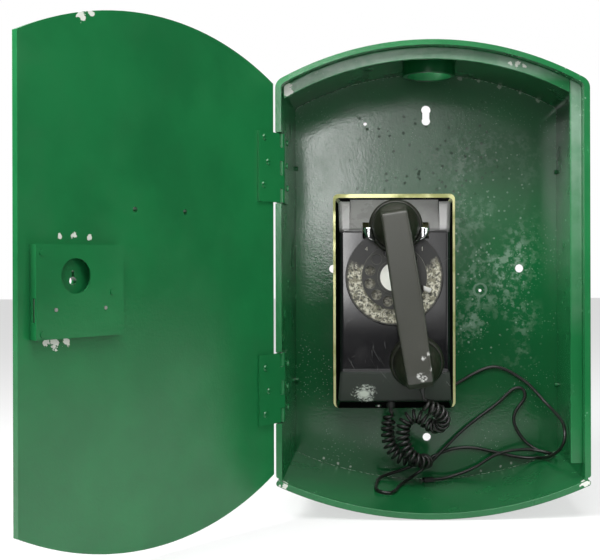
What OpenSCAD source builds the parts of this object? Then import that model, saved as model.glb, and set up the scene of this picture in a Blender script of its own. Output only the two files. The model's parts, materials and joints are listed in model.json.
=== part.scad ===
// Wall telephone in a welded steel case with a hinged door.
// Origin at the middle of the back face, +X right seen from the room, -Y towards the room, +Z up.
// "Depth" below is always the distance in front of the back face, so Y = -depth.

/* [Case] */
// Outer width of the case
case_w = 316; // [290:1:380]
// Height of each side wall's outer edge
side_h = 398; // [370:1:470]
// Rise of the arched top above the side walls
top_rise = 42; // [34:1:52]
// Depth of the case from the wall to the rim
case_d = 168; // [150:1:205]
// Thickness of the side walls
side_t = 6; // [5:0.1:7]
// Thickness of the arched top
top_t = 5.3; // [4:0.1:6]
// Thickness of the back plate
back_t = 4; // [3:0.1:6]
// Thickness of the curved bottom plate
bottom_t = 6.4; // [4:0.1:8]
// Drop of the bottom plate below its ends
bottom_drop = 34.4; // [28:0.1:42]
// Outer radius of the rounded top corners
corner_r = 12; // [8:0.5:16]
// Width of the door stop bar
stop_w = 12; // [9:0.5:14]
// Thickness of the door stop bar
stop_t = 3.2; // [2:0.1:5]
// Conduit hub outer diameter
hub_d = 57; // [48:0.5:62]
// Conduit hub bore
hub_bore = 48; // [38:0.5:50]
// Length of the conduit hub
hub_len = 23.7; // [20:0.1:30]

/* [Door] */
// Thickness of the door plate
door_t = 6.4; // [4:0.1:7]
// Gap between the door and the case wall at its free edge
door_gap = 2.1; // [1.5:0.1:4]
// Clear height between the door's corners and the case's corners
door_corner_drop = 2.8; // [2:0.1:6]
// Rise of the door's curved ends
door_rise = 37.5; // [30:0.5:46]
// How far open the door stands at rest, in degrees
door_open = 125.6; // [90:0.1:150]
// Diameter of the hinge barrels
barrel_d = 9; // [8:0.1:10]
// Diameter of the hinge pins
pin_d = 5; // [4:0.1:5.5]
// Radial running clearance of every pin and shaft
run_fit = 0.05; // [0.02:0.01:0.08]
// Thickness of the hinge leaves
leaf_t = 2.4; // [2:0.1:2.6]
// Length of each hinge
hinge_len = 69.7; // [60:0.1:80]
// Width of the lock case
lock_w = 85; // [75:0.5:90]
// Height of the lock case
lock_h = 74.5; // [68:0.5:84]
// Depth of the lock case
lock_d = 8.2; // [7.6:0.1:10]
// Travel of the lock bolt
bolt_travel = 12; // [8:0.5:12]

/* [Telephone] */
// Width of the telephone's base plate
base_w = 141.5; // [134:0.5:150]
// Height of the telephone's base plate
base_h = 247.8; // [246:0.5:256]
// Thickness of the base plate
base_t = 1.5; // [1:0.1:2]
// Height of the spacers behind the base plate
spacer_h = 4.2; // [4.2:0.1:6]
// Half width of the housing at its back
housing_back = 68; // [66:0.5:69]
// Half width of the housing at its front
housing_front = 60.2; // [58.5:0.1:64]
// Wall thickness of the housing
shell_t = 2.5; // [2:0.1:3]
// Radius of the dial's number plate
plate_r = 53.5; // [50:0.5:54]
// Radius of the finger wheel
wheel_r = 36; // [34:0.5:38]
// Radius of the circle that the finger holes lie on
hole_ring = 27.8; // [26.8:0.1:28.4]
// Diameter of each finger hole
finger_hole = 11.2; // [10:0.1:12]
// Radius of the centre card
card_r = 17; // [14:0.5:18]
// Diameter of the ear and mouth caps
cap_d = 59; // [57:0.5:60]
// Distance between the middles of the two caps
cap_span = 148; // [144:0.5:152]
// Width of the handset's handle
handle_w = 28; // [24:0.5:32]
// Diameter of each gong
gong_d = 42; // [36:0.5:43]

/* [Cords] */
// Diameter of the line cord
line_d = 3.4; // [3:0.1:3.6]
// Diameter of the handset cord
curl_wire = 3.4; // [3:0.1:3.6]
// Outer diameter of the handset cord's curls
curl_d = 16; // [14:0.2:16.6]
// Distance from one curl to the next
curl_pitch = 8; // [7.8:0.1:9]

/* [Hidden] */
$fn = 64;

// Case outline
half_w = case_w / 2;
half_h = side_h / 2;
in_w = half_w - side_t;
top_r = (pow(half_w, 2) + pow(top_rise, 2)) / (2 * top_rise);
top_z = half_h + top_rise - top_r;
bottom_end = -half_h - 1.6;
bottom_r_in = (pow(half_w, 2) + pow(bottom_drop, 2)) / (2 * bottom_drop) - bottom_t;
bottom_z = bottom_end - bottom_t - bottom_drop + bottom_r_in + bottom_t;
wall_end_r = side_t / 2;
stud_r = 2.4;
stud_len = 3;
stud_z = [[-1, 127], [-1, -119], [1, 122], [1, -125.5]];
fit_gap = 0.3;
weld_gap = 0.15;

// Holes in the back plate: X, Z and diameter
back_holes = [[0, 195, 10.7], [0, 182, 9.7], [-71, 179, 4], [-108.5, 10, 9.5], [108.5, 10, 9.5],
  [62.7, -15.7, 3.5], [0, -186.5, 9.3]];
keyhole_waist = 8.2;

// Hub, seen from above
hub_depth = 86;
hub_top = half_h + top_rise + 1;

// Hinge and door, in the closed door's own directions
pin_x = -half_w + 3.9;
pin_depth = case_d - 10;
barrel_r = barrel_d / 2;
pin_r = pin_d / 2;
leaf_face = barrel_r - leaf_t;
leaf_reach = 36.4;
leaf_start = barrel_r + 0.6;
knuckles = 5;
knuckle_gap = 0.3;
knuckle_len = hinge_len / knuckles;
upper_hinge_z = 112.35;
lower_hinge_z = -108.85;
notch_depth = 15;
door_edge = 12.6;
door_width = in_w - door_gap - pin_x - door_edge;
door_z = 0.7;
door_half_h = half_h - 0.7 - door_corner_drop;
door_r = (pow(door_width / 2, 2) + pow(door_rise, 2)) / (2 * door_rise);
door_inner = pin_depth - leaf_face;
stop_front = door_inner - fit_gap;
stop_low = half_h - 11.4;
upper_screws = [[27.5, 28.85], [22.5, 4.85], [28.9, -18.05]];
lower_screws = [[26.9, 21.75], [21.9, -1.55], [27.1, -24.15]];
screw_r = 1.6;
screw_fit = 0.05;
screw_head_r = 3.4;
screw_head_h = 1.3;
screw_bite = 4;

// Lock, placed from the door's free edge
lock_end = door_edge + door_width - 10.5;
lock_z = -5.75;
lock_wall = 1.5;
lock_low = lock_z - lock_h / 2;
key_s = lock_end - 40.2;
key_z = 2.3;
key_r = 3.4;
key_slot = 2.6;
key_slot_z = 9.5;
window_r = 14.2;
window_z = 6.4;
door_holes = [[131.5, 62.8], [189, 62.6]];
door_hole_r = 2.5;
bolt_h = 18;
bolt_z = -20;
bolt_t = 2.4;
bolt_front = leaf_face + 4;
bolt_len = 78;
guide_r = 1.5;
guide_s = [lock_end - 66, lock_end - 18];
lock_screw_at = [[lock_end - 5.5, 24.8], [lock_end - 6.2, -38.8], [lock_end - 73.3, -7.2]];

// Telephone: places are X and Z of the whole object, depths are from the back face
phone_x = -37.5;
base_top = 96.8;
base_back = back_t + spacer_h;
base_front = base_back + base_t;
base_low = base_top - base_h;
base_r = 6;
screw_x = 58;
screw_z = [84, -139];
mount_screw_r = 2;
chin = [70, -103];
chin_back = [40, -139.5];
brow = [63, 53];
top_front = [48, 86];
housing_low = -150;
housing_top = 94.5;
recess_half = 50;
recess_back = [26, 95.5];
ear_x = -36.27;
ear_z = 56.57;
scoop_r = 38;
scoop_depth = 56;
exit_x = -42;
exit_depth = 30;
exit_z = -148;
grommet_r = 5;
lug_x = -56;
lug_depth = 20;
lug_z = -141.2;
lug_t = 3;
foot_z = -146;
line_slot = [-4, 22, -137, -125];

// Dial
dial_x = -37.8;
dial_z = 1.2;
plate_back = 64.5;
plate_t = 1.5;
plate_gap = 0.7;
wheel_back = 68.6;
wheel_t = 1.6;
shaft_r = 3;
ledge_w = 5.5;
ledge_back = 58.5;
frame_plate = 2.2;
bridge_back = 42;
bridge_t = 2;
bridge_r = 35;
post_at = 32;
post_r = 2.5;
gear_r = 22.5;
gear_teeth = 66;
pinion_r = 4.1;
spindle_r = 1.5;
pinion_at = gear_r + pinion_r + 0.4;
second_r = 8;
governor_r = 3.4;
governor_pin_r = 1.2;
governor_pinion_r = 4;
governor_angle = 258;
governor_at = second_r + governor_pinion_r + 0.3;
hole_first = 45;
hole_step = 30;
hole_count = 10;
stop_angle = -21;

// Hook, in X and Z of the whole object
prong_r = 14.6;
prong_out = 21.23;
prong_top = 55;
prong_front = 90;
prong_back = 66.4;
prong_stem = 58;
lip_back = 85.5;
neck_gap = 0.4;
hook_depth = 26;
hook_z = 48;
hook_pin_r = 2;
hook_tube_r = 4;
arm_t = 4;
arm_out = 34.3;
ear_t = 2;
hook_ear_out = 37;

// Ringer
gong_z = -106;
gong_x = [-62, -8];
gong_front = 33.5;
gong_deep = 13.5;
gong_wall = 1.5;
gong_post_r = 4;
ringer_t = 2;
coil_z = -46;
coil_depth = 24;
coil_r = 11;
coil_x = [-40, 8];
cheek_t = 3;
clapper_x = (gong_x[0] + gong_x[1]) / 2;
clapper_z = -66;
clapper_depth = 26;
ball_r = 4;

// Handset, in its own frame: +Z towards the ear cap, depths as everywhere else
handset_x = -25.2;
handset_z = -16.6;
handset_tilt = -8.6;
cap_r = cap_d / 2;
cap_deep = 14;
cap_wall = 3.2;
neck_r = cap_r - 3.5;
unit_gap = 0.3;
cup_wall = 1.4;
unit_r = neck_r - cup_wall - unit_gap;
unit_deep = 12;
ear_face = 71;
mouth_face = 77.5;
mouth_tilt = 12;
cup_len = 26;
handle_front = 122;
handle_back = 98;
boot_depth = 98;
boot_x = 1;
boot_end = 109;
boot_start = 104;
boot_r = 3.2;
boot_gap = 0.1;

// Line cord route: X, depth, Z
clamp_x = -22;
line_start = [clamp_x, 13.5, -133.5];
line_route = [line_start, [-14, 13.5, -133.5], [-4, 12.2, -133], [6, 9.4, -131.5], [15, 7, -130],
  [24, 6.2, -127.5], [36, 6.2, -123.5], [50, 6.2, -115], [64, 6.2, -108], [73, 6.2, -105],
  [82, 6.2, -104.5], [95, 6.3, -109], [106, 7, -115.5], [116, 8.5, -122.5], [126, 11, -132.5],
  [134, 16, -142], [141, 25, -149.5], [146.5, 40, -156], [149, 57, -161], [149.4, 69, -168],
  [148.6, 74, -178], [144.5, 69, -189], [138.5, 54, -198.5], [134.5, 33, -205.5], [131, 15, -208.8],
  [118, 8, -210.5], [98, 6.4, -208], [74, 6.2, -202.5], [57, 6.2, -199], [40, 6.2, -198.5],
  [23, 6.2, -202], [-2, 6.4, -213], [-24, 9, -222], [-39, 13, -226], [-50, 21, -228], [-56, 35, -228.3],
  [-58, 60, -228], [-57.5, 80, -228], [-56, 92, -228.2], [-51.5, 99.5, -228.8], [-46, 99.5, -229.5],
  [-41.5, 92, -230], [-37, 76, -230.6], [-31, 52, -231.2], [-20, 24, -230], [-9, 13, -225],
  [0, 11.2, -218.5], [9, 11.2, -210], [22, 11, -196.5], [40, 9.4, -179], [60, 8, -163], [81, 6.6, -148],
  [92, 6.2, -138.5], [100, 6.2, -131.5], [106.5, 6.2, -129], [111, 6.2, -132.5], [111.2, 6.2, -139],
  [106.5, 6.2, -145.5], [102, 6.2, -152], [99.5, 6.2, -160], [102, 6.2, -172], [110, 7, -186],
  [120, 10, -196], [132, 15, -201.5], [140, 20, -203.3], [144.5, 27, -202.8], [142, 34.5, -200.8],
  [134, 37, -198.4], [124, 33, -197], [113, 25, -197.5], [97, 17.5, -200], [82, 13.5, -204.5],
  [70, 12, -211], [60, 11.5, -218], [48, 11.5, -224], [32, 12.5, -229.5], [20, 16, -232],
  [12, 19, -232.2], [7, 20.5, -232.3]];
line_rings = 80;
line_sides = 8;
line_r = line_d / 2;
connector_len = 12;
connector_h = 4.2;
connector_w = 8;

// Handset cord route: X, depth, Z, after its straight start at the boot
curl_route = [[-6.5, 98, -131.8], [-3.8, 97.3, -136.2], [1.2, 95.8, -139.3], [7, 93.5, -141.8],
  [12, 90, -146.5], [14.8, 85, -153.5], [13.2, 78.8, -160.2], [7.5, 73, -163.6], [0.5, 68.6, -161.8],
  [-5.5, 65.3, -156.8], [-12.8, 62.8, -153.2], [-20.5, 61, -154.6], [-26, 60, -160.5], [-28.6, 60, -169.5],
  [-28.4, 60.5, -179], [-25.8, 61.3, -188.5], [-21, 62, -196.5], [-14, 61, -202], [-6.2, 56.6, -205],
  [-2, 47.8, -206.4], [-5.8, 38.4, -207], [-14.5, 33.3, -207.6], [-24, 32, -207], [-33, 32.5, -203.5],
  [-40, 33, -196.5], [-44.3, 33.3, -187], [-45.8, 33, -176], [-44.6, 31.7, -165.5], [-42.6, 30.4, -157]];
curl_rings = 8;
curl_sides = 6;
curl_ease = 10;

// Extrudes an outline drawn in X and Z from one depth to another
module between(d0, d1) {
  translate([0, -d0, 0]) rotate([90, 0, 0]) linear_extrude(d1 - d0) children();
}

// A round bar pointing at the room, at X and Z, from one depth to another
module bar(x, z, r, d0, d1) {
  translate([x, -d0, z]) rotate([90, 0, 0]) cylinder(r = r, h = d1 - d0);
}

// A bar whose radius changes from r0 at the first depth to r1 at the second
module taper(x, z, r0, r1, d0, d1) {
  translate([x, -d0, z]) rotate([90, 0, 0]) cylinder(r1 = r0, r2 = r1, h = d1 - d0);
}

// Extrudes an outline drawn in depth and Z across X
module across(x0, x1) {
  translate([x0, 0, 0]) rotate([90, 0, -90]) translate([0, 0, x0 - x1]) linear_extrude(x1 - x0) children();
}

// A box from its lowest and highest X, depth and Z
module block(x0, x1, d0, d1, z0, z1) {
  translate([x0, -d1, z0]) cube([x1 - x0, d1 - d0, z1 - z0]);
}

// A rectangle from its corners with rounded corners
module rounded(x0, x1, z0, z1, r) {
  translate([x0 + r, z0]) square([x1 - x0 - 2 * r, z1 - z0]);
  translate([x0, z0 + r]) square([x1 - x0, z1 - z0 - 2 * r]);
  for (x = [x0 + r, x1 - r], z = [z0 + r, z1 - r]) translate([x, z]) circle(r = r);
}

// Moves each edge of an outline inwards by t; the outline runs anticlockwise
function unit(v) = v / norm(v);
function left(v) = unit([-v[1], v[0]]);
function inset(p, t) = [for (i = [0:len(p) - 1])
  let (n0 = left(p[i] - p[(i + len(p) - 1) % len(p)]), n1 = left(p[(i + 1) % len(p)] - p[i]))
  p[i] + t * (n0 + n1) / (1 + n0 * n1)];

// The case's arched outline down to z_low, with its rounded top corners
module arch(half, r, corner, z_low) {
  reach = r - corner;
  corner_z = top_z + sqrt(pow(reach, 2) - pow(half - corner, 2));
  side = (half - corner) * r / reach;
  intersection() {
    translate([0, top_z]) circle(r = r, $fn = 180);
    translate([-side, z_low]) square([2 * side, r + top_z - z_low]);
  }
  translate([-half, z_low]) square([2 * half, corner_z - z_low]);
  for (s = [-1, 1]) translate([s * (half - corner), corner_z]) circle(r = corner);
}

module outer_arch(z_low) {
  arch(half_w, top_r, corner_r, z_low);
}

module inner_arch(z_low) {
  arch(in_w, top_r - top_t, corner_r - side_t, z_low);
}

// Everything above the curved bottom plate's upper face
module above_bottom() {
  translate([0, bottom_z]) circle(r = bottom_r_in, $fn = 180);
  translate([-half_w, bottom_end + 4]) square([case_w, side_h + 2 * top_rise]);
}

module case_wall() {
  low = bottom_end - 8;
  color("#2f7d4f") difference() {
    between(0, case_d) difference() {
      intersection() {
        difference() {
          outer_arch(low);
          inner_arch(low - 1);
        }
        above_bottom();
      }
      for (s = [-1, 1]) difference() {
        translate([s > 0 ? half_w - wall_end_r : -half_w - 1, low])
          square([wall_end_r + 1, bottom_end + wall_end_r - low + 1]);
        translate([s * (half_w - wall_end_r), bottom_end + wall_end_r + 1]) circle(r = wall_end_r);
      }
    }
    for (z = [upper_hinge_z, lower_hinge_z])
      block(-half_w - 1, -in_w + 1, case_d - notch_depth, case_d + 1,
        z - hinge_len / 2 - 1, z + hinge_len / 2 + 1);
    translate([0, -hub_depth, top_z]) cylinder(r = hub_d / 2 + weld_gap, h = top_r + 20);
    case_screw_bores();
  }
}

module back_plate() {
  color("#2b7447") difference() {
    between(0, back_t) intersection() {
      inner_arch(-half_h - bottom_drop - 20);
      above_bottom();
    }
    for (h = back_holes) bar(h[0], h[1], h[2] / 2, -1, back_t + 1);
    block(-keyhole_waist / 2, keyhole_waist / 2, -1, back_t + 1, back_holes[1][1], back_holes[0][1]);
    phone_screw_bores(screw_fit);
  }
}

module bottom_plate() {
  mid_r = bottom_r_in + bottom_t / 2;
  end_r = bottom_t / 2;
  swing = asin((half_w - end_r) / mid_r);
  reach = 2 * bottom_r_in;
  color("#2f7d4f") between(0, case_d) {
    intersection() {
      difference() {
        translate([0, bottom_z]) circle(r = bottom_r_in + bottom_t, $fn = 180);
        translate([0, bottom_z]) circle(r = bottom_r_in, $fn = 180);
      }
      polygon([[0, bottom_z], [-reach * sin(swing), bottom_z - reach * cos(swing)],
        [reach * sin(swing), bottom_z - reach * cos(swing)]]);
    }
    for (s = [-1, 1]) translate([s * mid_r * sin(swing), bottom_z - mid_r * cos(swing)]) circle(r = end_r);
  }
}

module top_stop() {
  color("#3a8a5a") between(stop_front - stop_t, stop_front) intersection() {
    difference() {
      inner_arch(0);
      translate([0, top_z]) circle(r = top_r - top_t - stop_w, $fn = 180);
    }
    translate([-in_w + 1.2, 0]) square([2 * in_w - stop_w - 1.2, half_h + top_rise]);
  }
}

module side_stop() {
  color("#3a8a5a") between(stop_front - stop_t, stop_front) intersection() {
    inner_arch(-stop_low);
    translate([in_w - stop_w, -stop_low]) square([stop_w, 2 * half_h]);
  }
}

module conduit_hub() {
  color("#2f7d4f") translate([0, -hub_depth, hub_top - hub_len]) difference() {
    cylinder(r = hub_d / 2, h = hub_len);
    translate([0, 0, -1]) cylinder(r = hub_bore / 2, h = hub_len + 2);
  }
}

module wall_studs() {
  for (s = stud_z) color("#2b7447")
    translate([s[0] > 0 ? in_w - stud_len : -in_w, -back_t - stud_r, s[1]])
      rotate([0, 90, 0]) cylinder(r = stud_r, h = stud_len);
}

// A hinge knuckle row around the pin; first is 0 for knuckles 1, 3, 5 and 1 for knuckles 2, 4
module knuckle_row(z, first) {
  for (i = [first:2:knuckles - 1])
    translate([pin_x, -pin_depth, z - hinge_len / 2 + i * knuckle_len + knuckle_gap / 2])
      cylinder(r = barrel_r, h = knuckle_len - knuckle_gap);
}

module pin_bore(z) {
  translate([pin_x, -pin_depth, z - hinge_len / 2 - 1])
    cylinder(r = pin_r + run_fit, h = hinge_len + 2);
}

// The leaf that lies on the case's left wall
module case_leaf(z) {
  face = pin_x + barrel_r;
  color("#2f7d4f") difference() {
    union() {
      knuckle_row(z, 0);
      block(face - leaf_t, face, pin_depth - leaf_reach, pin_depth - leaf_start,
        z - hinge_len / 2, z + hinge_len / 2);
      for (i = [0:2:knuckles - 1])
        block(face - leaf_t, face, pin_depth - leaf_start - 1, pin_depth,
          z - hinge_len / 2 + i * knuckle_len + knuckle_gap / 2,
          z - hinge_len / 2 + (i + 1) * knuckle_len - knuckle_gap / 2);
    }
    pin_bore(z);
    case_screw_bores();
  }
}

module upper_case_leaf() {
  case_leaf(upper_hinge_z);
}

module lower_case_leaf() {
  case_leaf(lower_hinge_z);
}

// Places its children at each hinge screw of the case, pointing at the inside of the case
module at_case_screws() {
  for (s = upper_screws)
    translate([pin_x + barrel_r, -pin_depth + s[0], upper_hinge_z + s[1]]) rotate([0, 90, 0]) children();
  for (s = lower_screws)
    translate([pin_x + barrel_r, -pin_depth + s[0], lower_hinge_z + s[1]]) rotate([0, 90, 0]) children();
}

module case_screw_bores() {
  at_case_screws() translate([0, 0, -leaf_t - screw_bite])
    cylinder(r = screw_r + screw_fit, h = leaf_t + screw_bite + 1);
}

module leaf_screw() {
  translate([0, 0, -leaf_t - screw_bite + 0.3]) cylinder(r = screw_r, h = leaf_t + screw_bite - 0.3);
  difference() {
    cylinder(r1 = screw_head_r, r2 = screw_head_r - 0.8, h = screw_head_h);
    translate([-screw_head_r, -0.5, screw_head_h - 0.7]) cube([2 * screw_head_r, 1, 1]);
  }
}

module case_leaf_screws() {
  color("#3a8a5a") at_case_screws() leaf_screw();
}

module hinge_pins() {
  color("silver") for (z = [upper_hinge_z, lower_hinge_z])
    translate([pin_x, -pin_depth, z - hinge_len / 2]) cylinder(r = pin_r, h = hinge_len);
}

// Turns the closed door about its hinge pins to where it stands at rest
module at_door() {
  translate([pin_x, -pin_depth, 0]) rotate([0, 0, -door_open]) children();
}

// In the door's frame X runs from the pin to the free edge, and inwards is +Y when closed
module door_block(s0, s1, m0, m1, z0, z1) {
  translate([s0, m0, z0]) cube([s1 - s0, m1 - m0, z1 - z0]);
}

module door_bar(s, z, r, m0, m1) {
  translate([s, m1, z]) rotate([90, 0, 0]) cylinder(r = r, h = m1 - m0);
}

module door_plate() {
  mid = door_edge + door_width / 2;
  top_c = door_z + door_half_h + door_rise - door_r;
  low_c = door_z - door_half_h - door_rise + door_r;
  color("#1f6e3c") at_door() difference() {
    translate([0, leaf_face, 0]) rotate([90, 0, 0]) linear_extrude(door_t) intersection() {
      translate([door_edge, door_z - door_half_h - door_rise])
        square([door_width, 2 * (door_half_h + door_rise)]);
      translate([mid, top_c]) circle(r = door_r, $fn = 180);
      translate([mid, low_c]) circle(r = door_r, $fn = 180);
    }
    for (h = door_holes) door_bar(h[0], h[1], door_hole_r, leaf_face - door_t - 1, leaf_face + 1);
    door_bar(key_s, key_z, key_r, leaf_face - door_t - 1, leaf_face + 1);
    door_bar(key_s, key_slot_z, key_slot / 2, leaf_face - door_t - 1, leaf_face + 1);
    door_block(key_s - key_slot / 2, key_s + key_slot / 2, leaf_face - door_t - 1, leaf_face + 1,
      key_z, key_slot_z);
    door_screw_bores();
    lock_screw_bores();
  }
}

module door_leaf(z) {
  color("#2f7d4f") at_door() difference() {
    union() {
      translate([-pin_x, pin_depth, 0]) knuckle_row(z, 1);
      door_block(leaf_start, leaf_reach, leaf_face, barrel_r, z - hinge_len / 2, z + hinge_len / 2);
      for (i = [1:2:knuckles - 1])
        door_block(0, leaf_start + 1, leaf_face, barrel_r,
          z - hinge_len / 2 + i * knuckle_len + knuckle_gap / 2,
          z - hinge_len / 2 + (i + 1) * knuckle_len - knuckle_gap / 2);
    }
    translate([-pin_x, pin_depth, 0]) pin_bore(z);
    door_screw_bores();
  }
}

module upper_door_leaf() {
  door_leaf(upper_hinge_z);
}

module lower_door_leaf() {
  door_leaf(lower_hinge_z);
}

module at_door_screws() {
  for (s = upper_screws) translate([s[0], barrel_r, upper_hinge_z + s[1]]) rotate([-90, 0, 0]) children();
  for (s = lower_screws) translate([s[0], barrel_r, lower_hinge_z + s[1]]) rotate([-90, 0, 0]) children();
}

module door_screw_bores() {
  at_door_screws() translate([0, 0, -leaf_t - screw_bite])
    cylinder(r = screw_r + screw_fit, h = leaf_t + screw_bite + 1);
}

module door_leaf_screws() {
  color("#3a8a5a") at_door() at_door_screws() leaf_screw();
}

module lock_screw_bores() {
  for (p = lock_screw_at)
    door_bar(p[0], p[1], screw_r + screw_fit, leaf_face - screw_bite, leaf_face + lock_d + 1);
}

module lock_case() {
  color("#1f6e3c") at_door() difference() {
    door_block(lock_end - lock_w, lock_end, leaf_face, leaf_face + lock_d, lock_low, lock_low + lock_h);
    difference() {
      door_block(lock_end - lock_w + lock_wall, lock_end - lock_wall, leaf_face - 1,
        leaf_face + lock_d - lock_wall, lock_low + lock_wall, lock_low + lock_h - lock_wall);
      for (p = lock_screw_at) door_bar(p[0], p[1], screw_r + 1.6, leaf_face - 1, leaf_face + lock_d);
    }
    door_bar(key_s + 3, window_z, window_r, leaf_face + lock_d / 2, leaf_face + lock_d + 1);
    door_block(lock_end - lock_wall - 1, lock_end + 1,
      bolt_front - fit_gap, bolt_front + bolt_t + fit_gap / 2,
      bolt_z - bolt_h / 2 - fit_gap, bolt_z + bolt_h / 2 + fit_gap);
    lock_screw_bores();
    for (s = guide_s)
      door_bar(s, bolt_z, guide_r + screw_fit, leaf_face + lock_d / 2, leaf_face + lock_d + 1);
  }
}

module lock_bolt() {
  color("#8a8f86") at_door() difference() {
    door_block(lock_end - 1 - bolt_len, lock_end - 1, bolt_front, bolt_front + bolt_t,
      bolt_z - bolt_h / 2, bolt_z + bolt_h / 2);
    for (s = guide_s) hull() {
      door_bar(s + 0.2, bolt_z, guide_r + 0.3, bolt_front - 1, bolt_front + bolt_t + 1, $fn = 32);
      door_bar(s - bolt_travel - 0.2, bolt_z, guide_r + 0.3,
        bolt_front - 1, bolt_front + bolt_t + 1, $fn = 32);
    }
    door_block(key_s - 9, key_s + 3, bolt_front - 1, bolt_front + bolt_t + 1,
      bolt_z + bolt_h / 2 - 5, bolt_z + bolt_h);
  }
}

module lock_guide_pins() {
  color("#8a8f86") at_door() for (s = guide_s)
    door_bar(s, bolt_z, guide_r, bolt_front - 1, leaf_face + lock_d + 0.6);
}

module lock_screws() {
  color("#3a8a5a") at_door() for (p = lock_screw_at) {
    door_bar(p[0], p[1], screw_r, leaf_face - screw_bite + 0.3, leaf_face + lock_d);
    door_bar(p[0], p[1], screw_head_r - 0.8, leaf_face + lock_d, leaf_face + lock_d + 1);
  }
}

// Places its children at the four screws that hold the base plate to the case
module at_phone_screws() {
  for (x = [-screw_x, screw_x], z = screw_z) translate([phone_x + x, 0, z]) children();
}

module phone_screw_bores(fit) {
  at_phone_screws() bar(0, 0, mount_screw_r + fit, -1, base_front + 1);
}

module base_plate() {
  color("#c9cf7a") difference() {
    union() {
      between(base_back, base_front)
        rounded(phone_x - base_w / 2, phone_x + base_w / 2, base_low, base_top, base_r);
      block(lug_x - 7, lug_x + 7, base_front - 0.5, lug_depth + 6, lug_z, lug_z + lug_t);
    }
    phone_screw_bores(screw_fit);
    block(line_slot[0], line_slot[1], base_back - 1, base_front + 1, line_slot[2], line_slot[3]);
    translate([lug_x, -lug_depth, lug_z - 1]) cylinder(r = screw_r + screw_fit, h = lug_t + 2);
  }
}

module base_spacers() {
  color("#b9bd8a") at_phone_screws() difference() {
    bar(0, 0, 5, back_t, base_back);
    bar(0, 0, mount_screw_r + screw_fit, back_t - 1, base_back + 1);
  }
}

module mounting_screws() {
  color("silver") at_phone_screws() {
    bar(0, 0, mount_screw_r, 0.3, base_front);
    difference() {
      taper(0, 0, 4, 3.2, base_front, base_front + 2.2);
      block(-5, 5, base_front + 1.4, base_front + 3, -0.5, 0.5);
    }
  }
}

// Side view of the housing, in depth and Z, anticlockwise
side_view = [[base_front, housing_low], chin_back, chin, brow, top_front, [base_front, housing_top]];
// Plan view, in X and depth, anticlockwise
plan_view = [[-housing_back, base_front], [housing_back, base_front],
  [housing_front, chin[0]], [-housing_front, chin[0]]];
// Side view of the hollow for the handset
recess_view = [[brow[0], brow[1] - 0.5], [brow[0] + 40, brow[1] - 0.5], [brow[0] + 40, housing_top + 40],
  [recess_back[0], housing_top + 40], recess_back];

// The housing's outside, moved inwards by t
module housing_body(t) {
  intersection() {
    across(phone_x - housing_back - 1, phone_x + housing_back + 1) polygon(inset(side_view, t));
    translate([phone_x, 0, housing_low - 1]) mirror([0, 1, 0])
      linear_extrude(housing_top - housing_low + 2) polygon(inset(plan_view, t));
    between(base_front + t, chin[0] + 1)
      rounded(phone_x - housing_back + t, phone_x + housing_back - t, housing_low + t, housing_top - t,
        base_r - t);
  }
}

// The hollow for the handset and the scoop round the ear cap, moved outwards by t
module housing_recess(t) {
  across(phone_x - recess_half - t, phone_x + recess_half + t) polygon(inset(recess_view, -t));
  difference() {
    bar(ear_x, ear_z, scoop_r + t, scoop_depth - t, chin[0] + 20);
    bar(dial_x, dial_z, plate_r + plate_gap + 2.8 - t, 0, chin[0] + 30);
  }
}

module housing() {
  hole_r = plate_r + plate_gap;
  color("#17181a") difference() {
    union() {
      difference() {
        housing_body(0);
        difference() {
          union() {
            housing_body(shell_t);
            block(phone_x - housing_back + 2 * shell_t, phone_x + housing_back - 2 * shell_t,
              base_front - 1, base_front + 2 * shell_t, housing_low + 2 * shell_t, housing_top - 2 * shell_t);
          }
          housing_recess(shell_t);
        }
        housing_recess(0);
      }
      intersection() {
        housing_body(0);
        bar(dial_x, dial_z, hole_r + 2.8, ledge_back, chin[0] + 1);
      }
    }
    bar(dial_x, dial_z, hole_r, plate_back - frame_plate, chin[0] + 2);
    bar(dial_x, dial_z, hole_r - ledge_w, ledge_back - 1, chin[0] + 2);
    for (s = [-1, 1]) hook_slot(s);
    translate([exit_x, -exit_depth, exit_z - 6]) cylinder(r = grommet_r + screw_fit, h = 20);
    translate([lug_x, -lug_depth, foot_z - 6]) cylinder(r = screw_r + 0.2, h = 12);
    translate([lug_x, -lug_depth, foot_z - 8]) cylinder(r = 4.4, h = 8);
  }
}

// The opening for one prong of the hook; s is -1 on the left and 1 on the right
module hook_slot(s) {
  near = prong_out + 5;
  far = prong_out + prong_r + 1;
  block(min(ear_x + s * near, ear_x + s * far), max(ear_x + s * near, ear_x + s * far),
    40, chin[0] + 20, prong_top - 11.5, prong_top + 7);
}

module housing_screw() {
  color("silver") translate([lug_x, -lug_depth, 0]) {
    translate([0, 0, foot_z]) cylinder(r = screw_r, h = lug_z + lug_t + 1 - foot_z);
    translate([0, 0, foot_z - 2.4]) difference() {
      cylinder(r = 3.6, h = 2.4);
      translate([-4, -0.5, -1]) cube([8, 1, 1.8]);
    }
  }
}

module cord_grommet() {
  color("#101010") translate([exit_x, -exit_depth, 0]) difference() {
    union() {
      translate([0, 0, exit_z]) cylinder(r = grommet_r, h = 12.5);
      translate([0, 0, exit_z + 10.5]) cylinder(r = grommet_r + 2, h = 2);
    }
    translate([0, 0, exit_z + 4]) cylinder(r = curl_wire / 2, h = 20);
  }
}

module number_plate() {
  color("#d8d2b4") difference() {
    bar(dial_x, dial_z, plate_r, plate_back, plate_back + plate_t);
    bar(dial_x, dial_z, shaft_r + 1, plate_back - 1, plate_back + plate_t + 1);
  }
}

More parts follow.
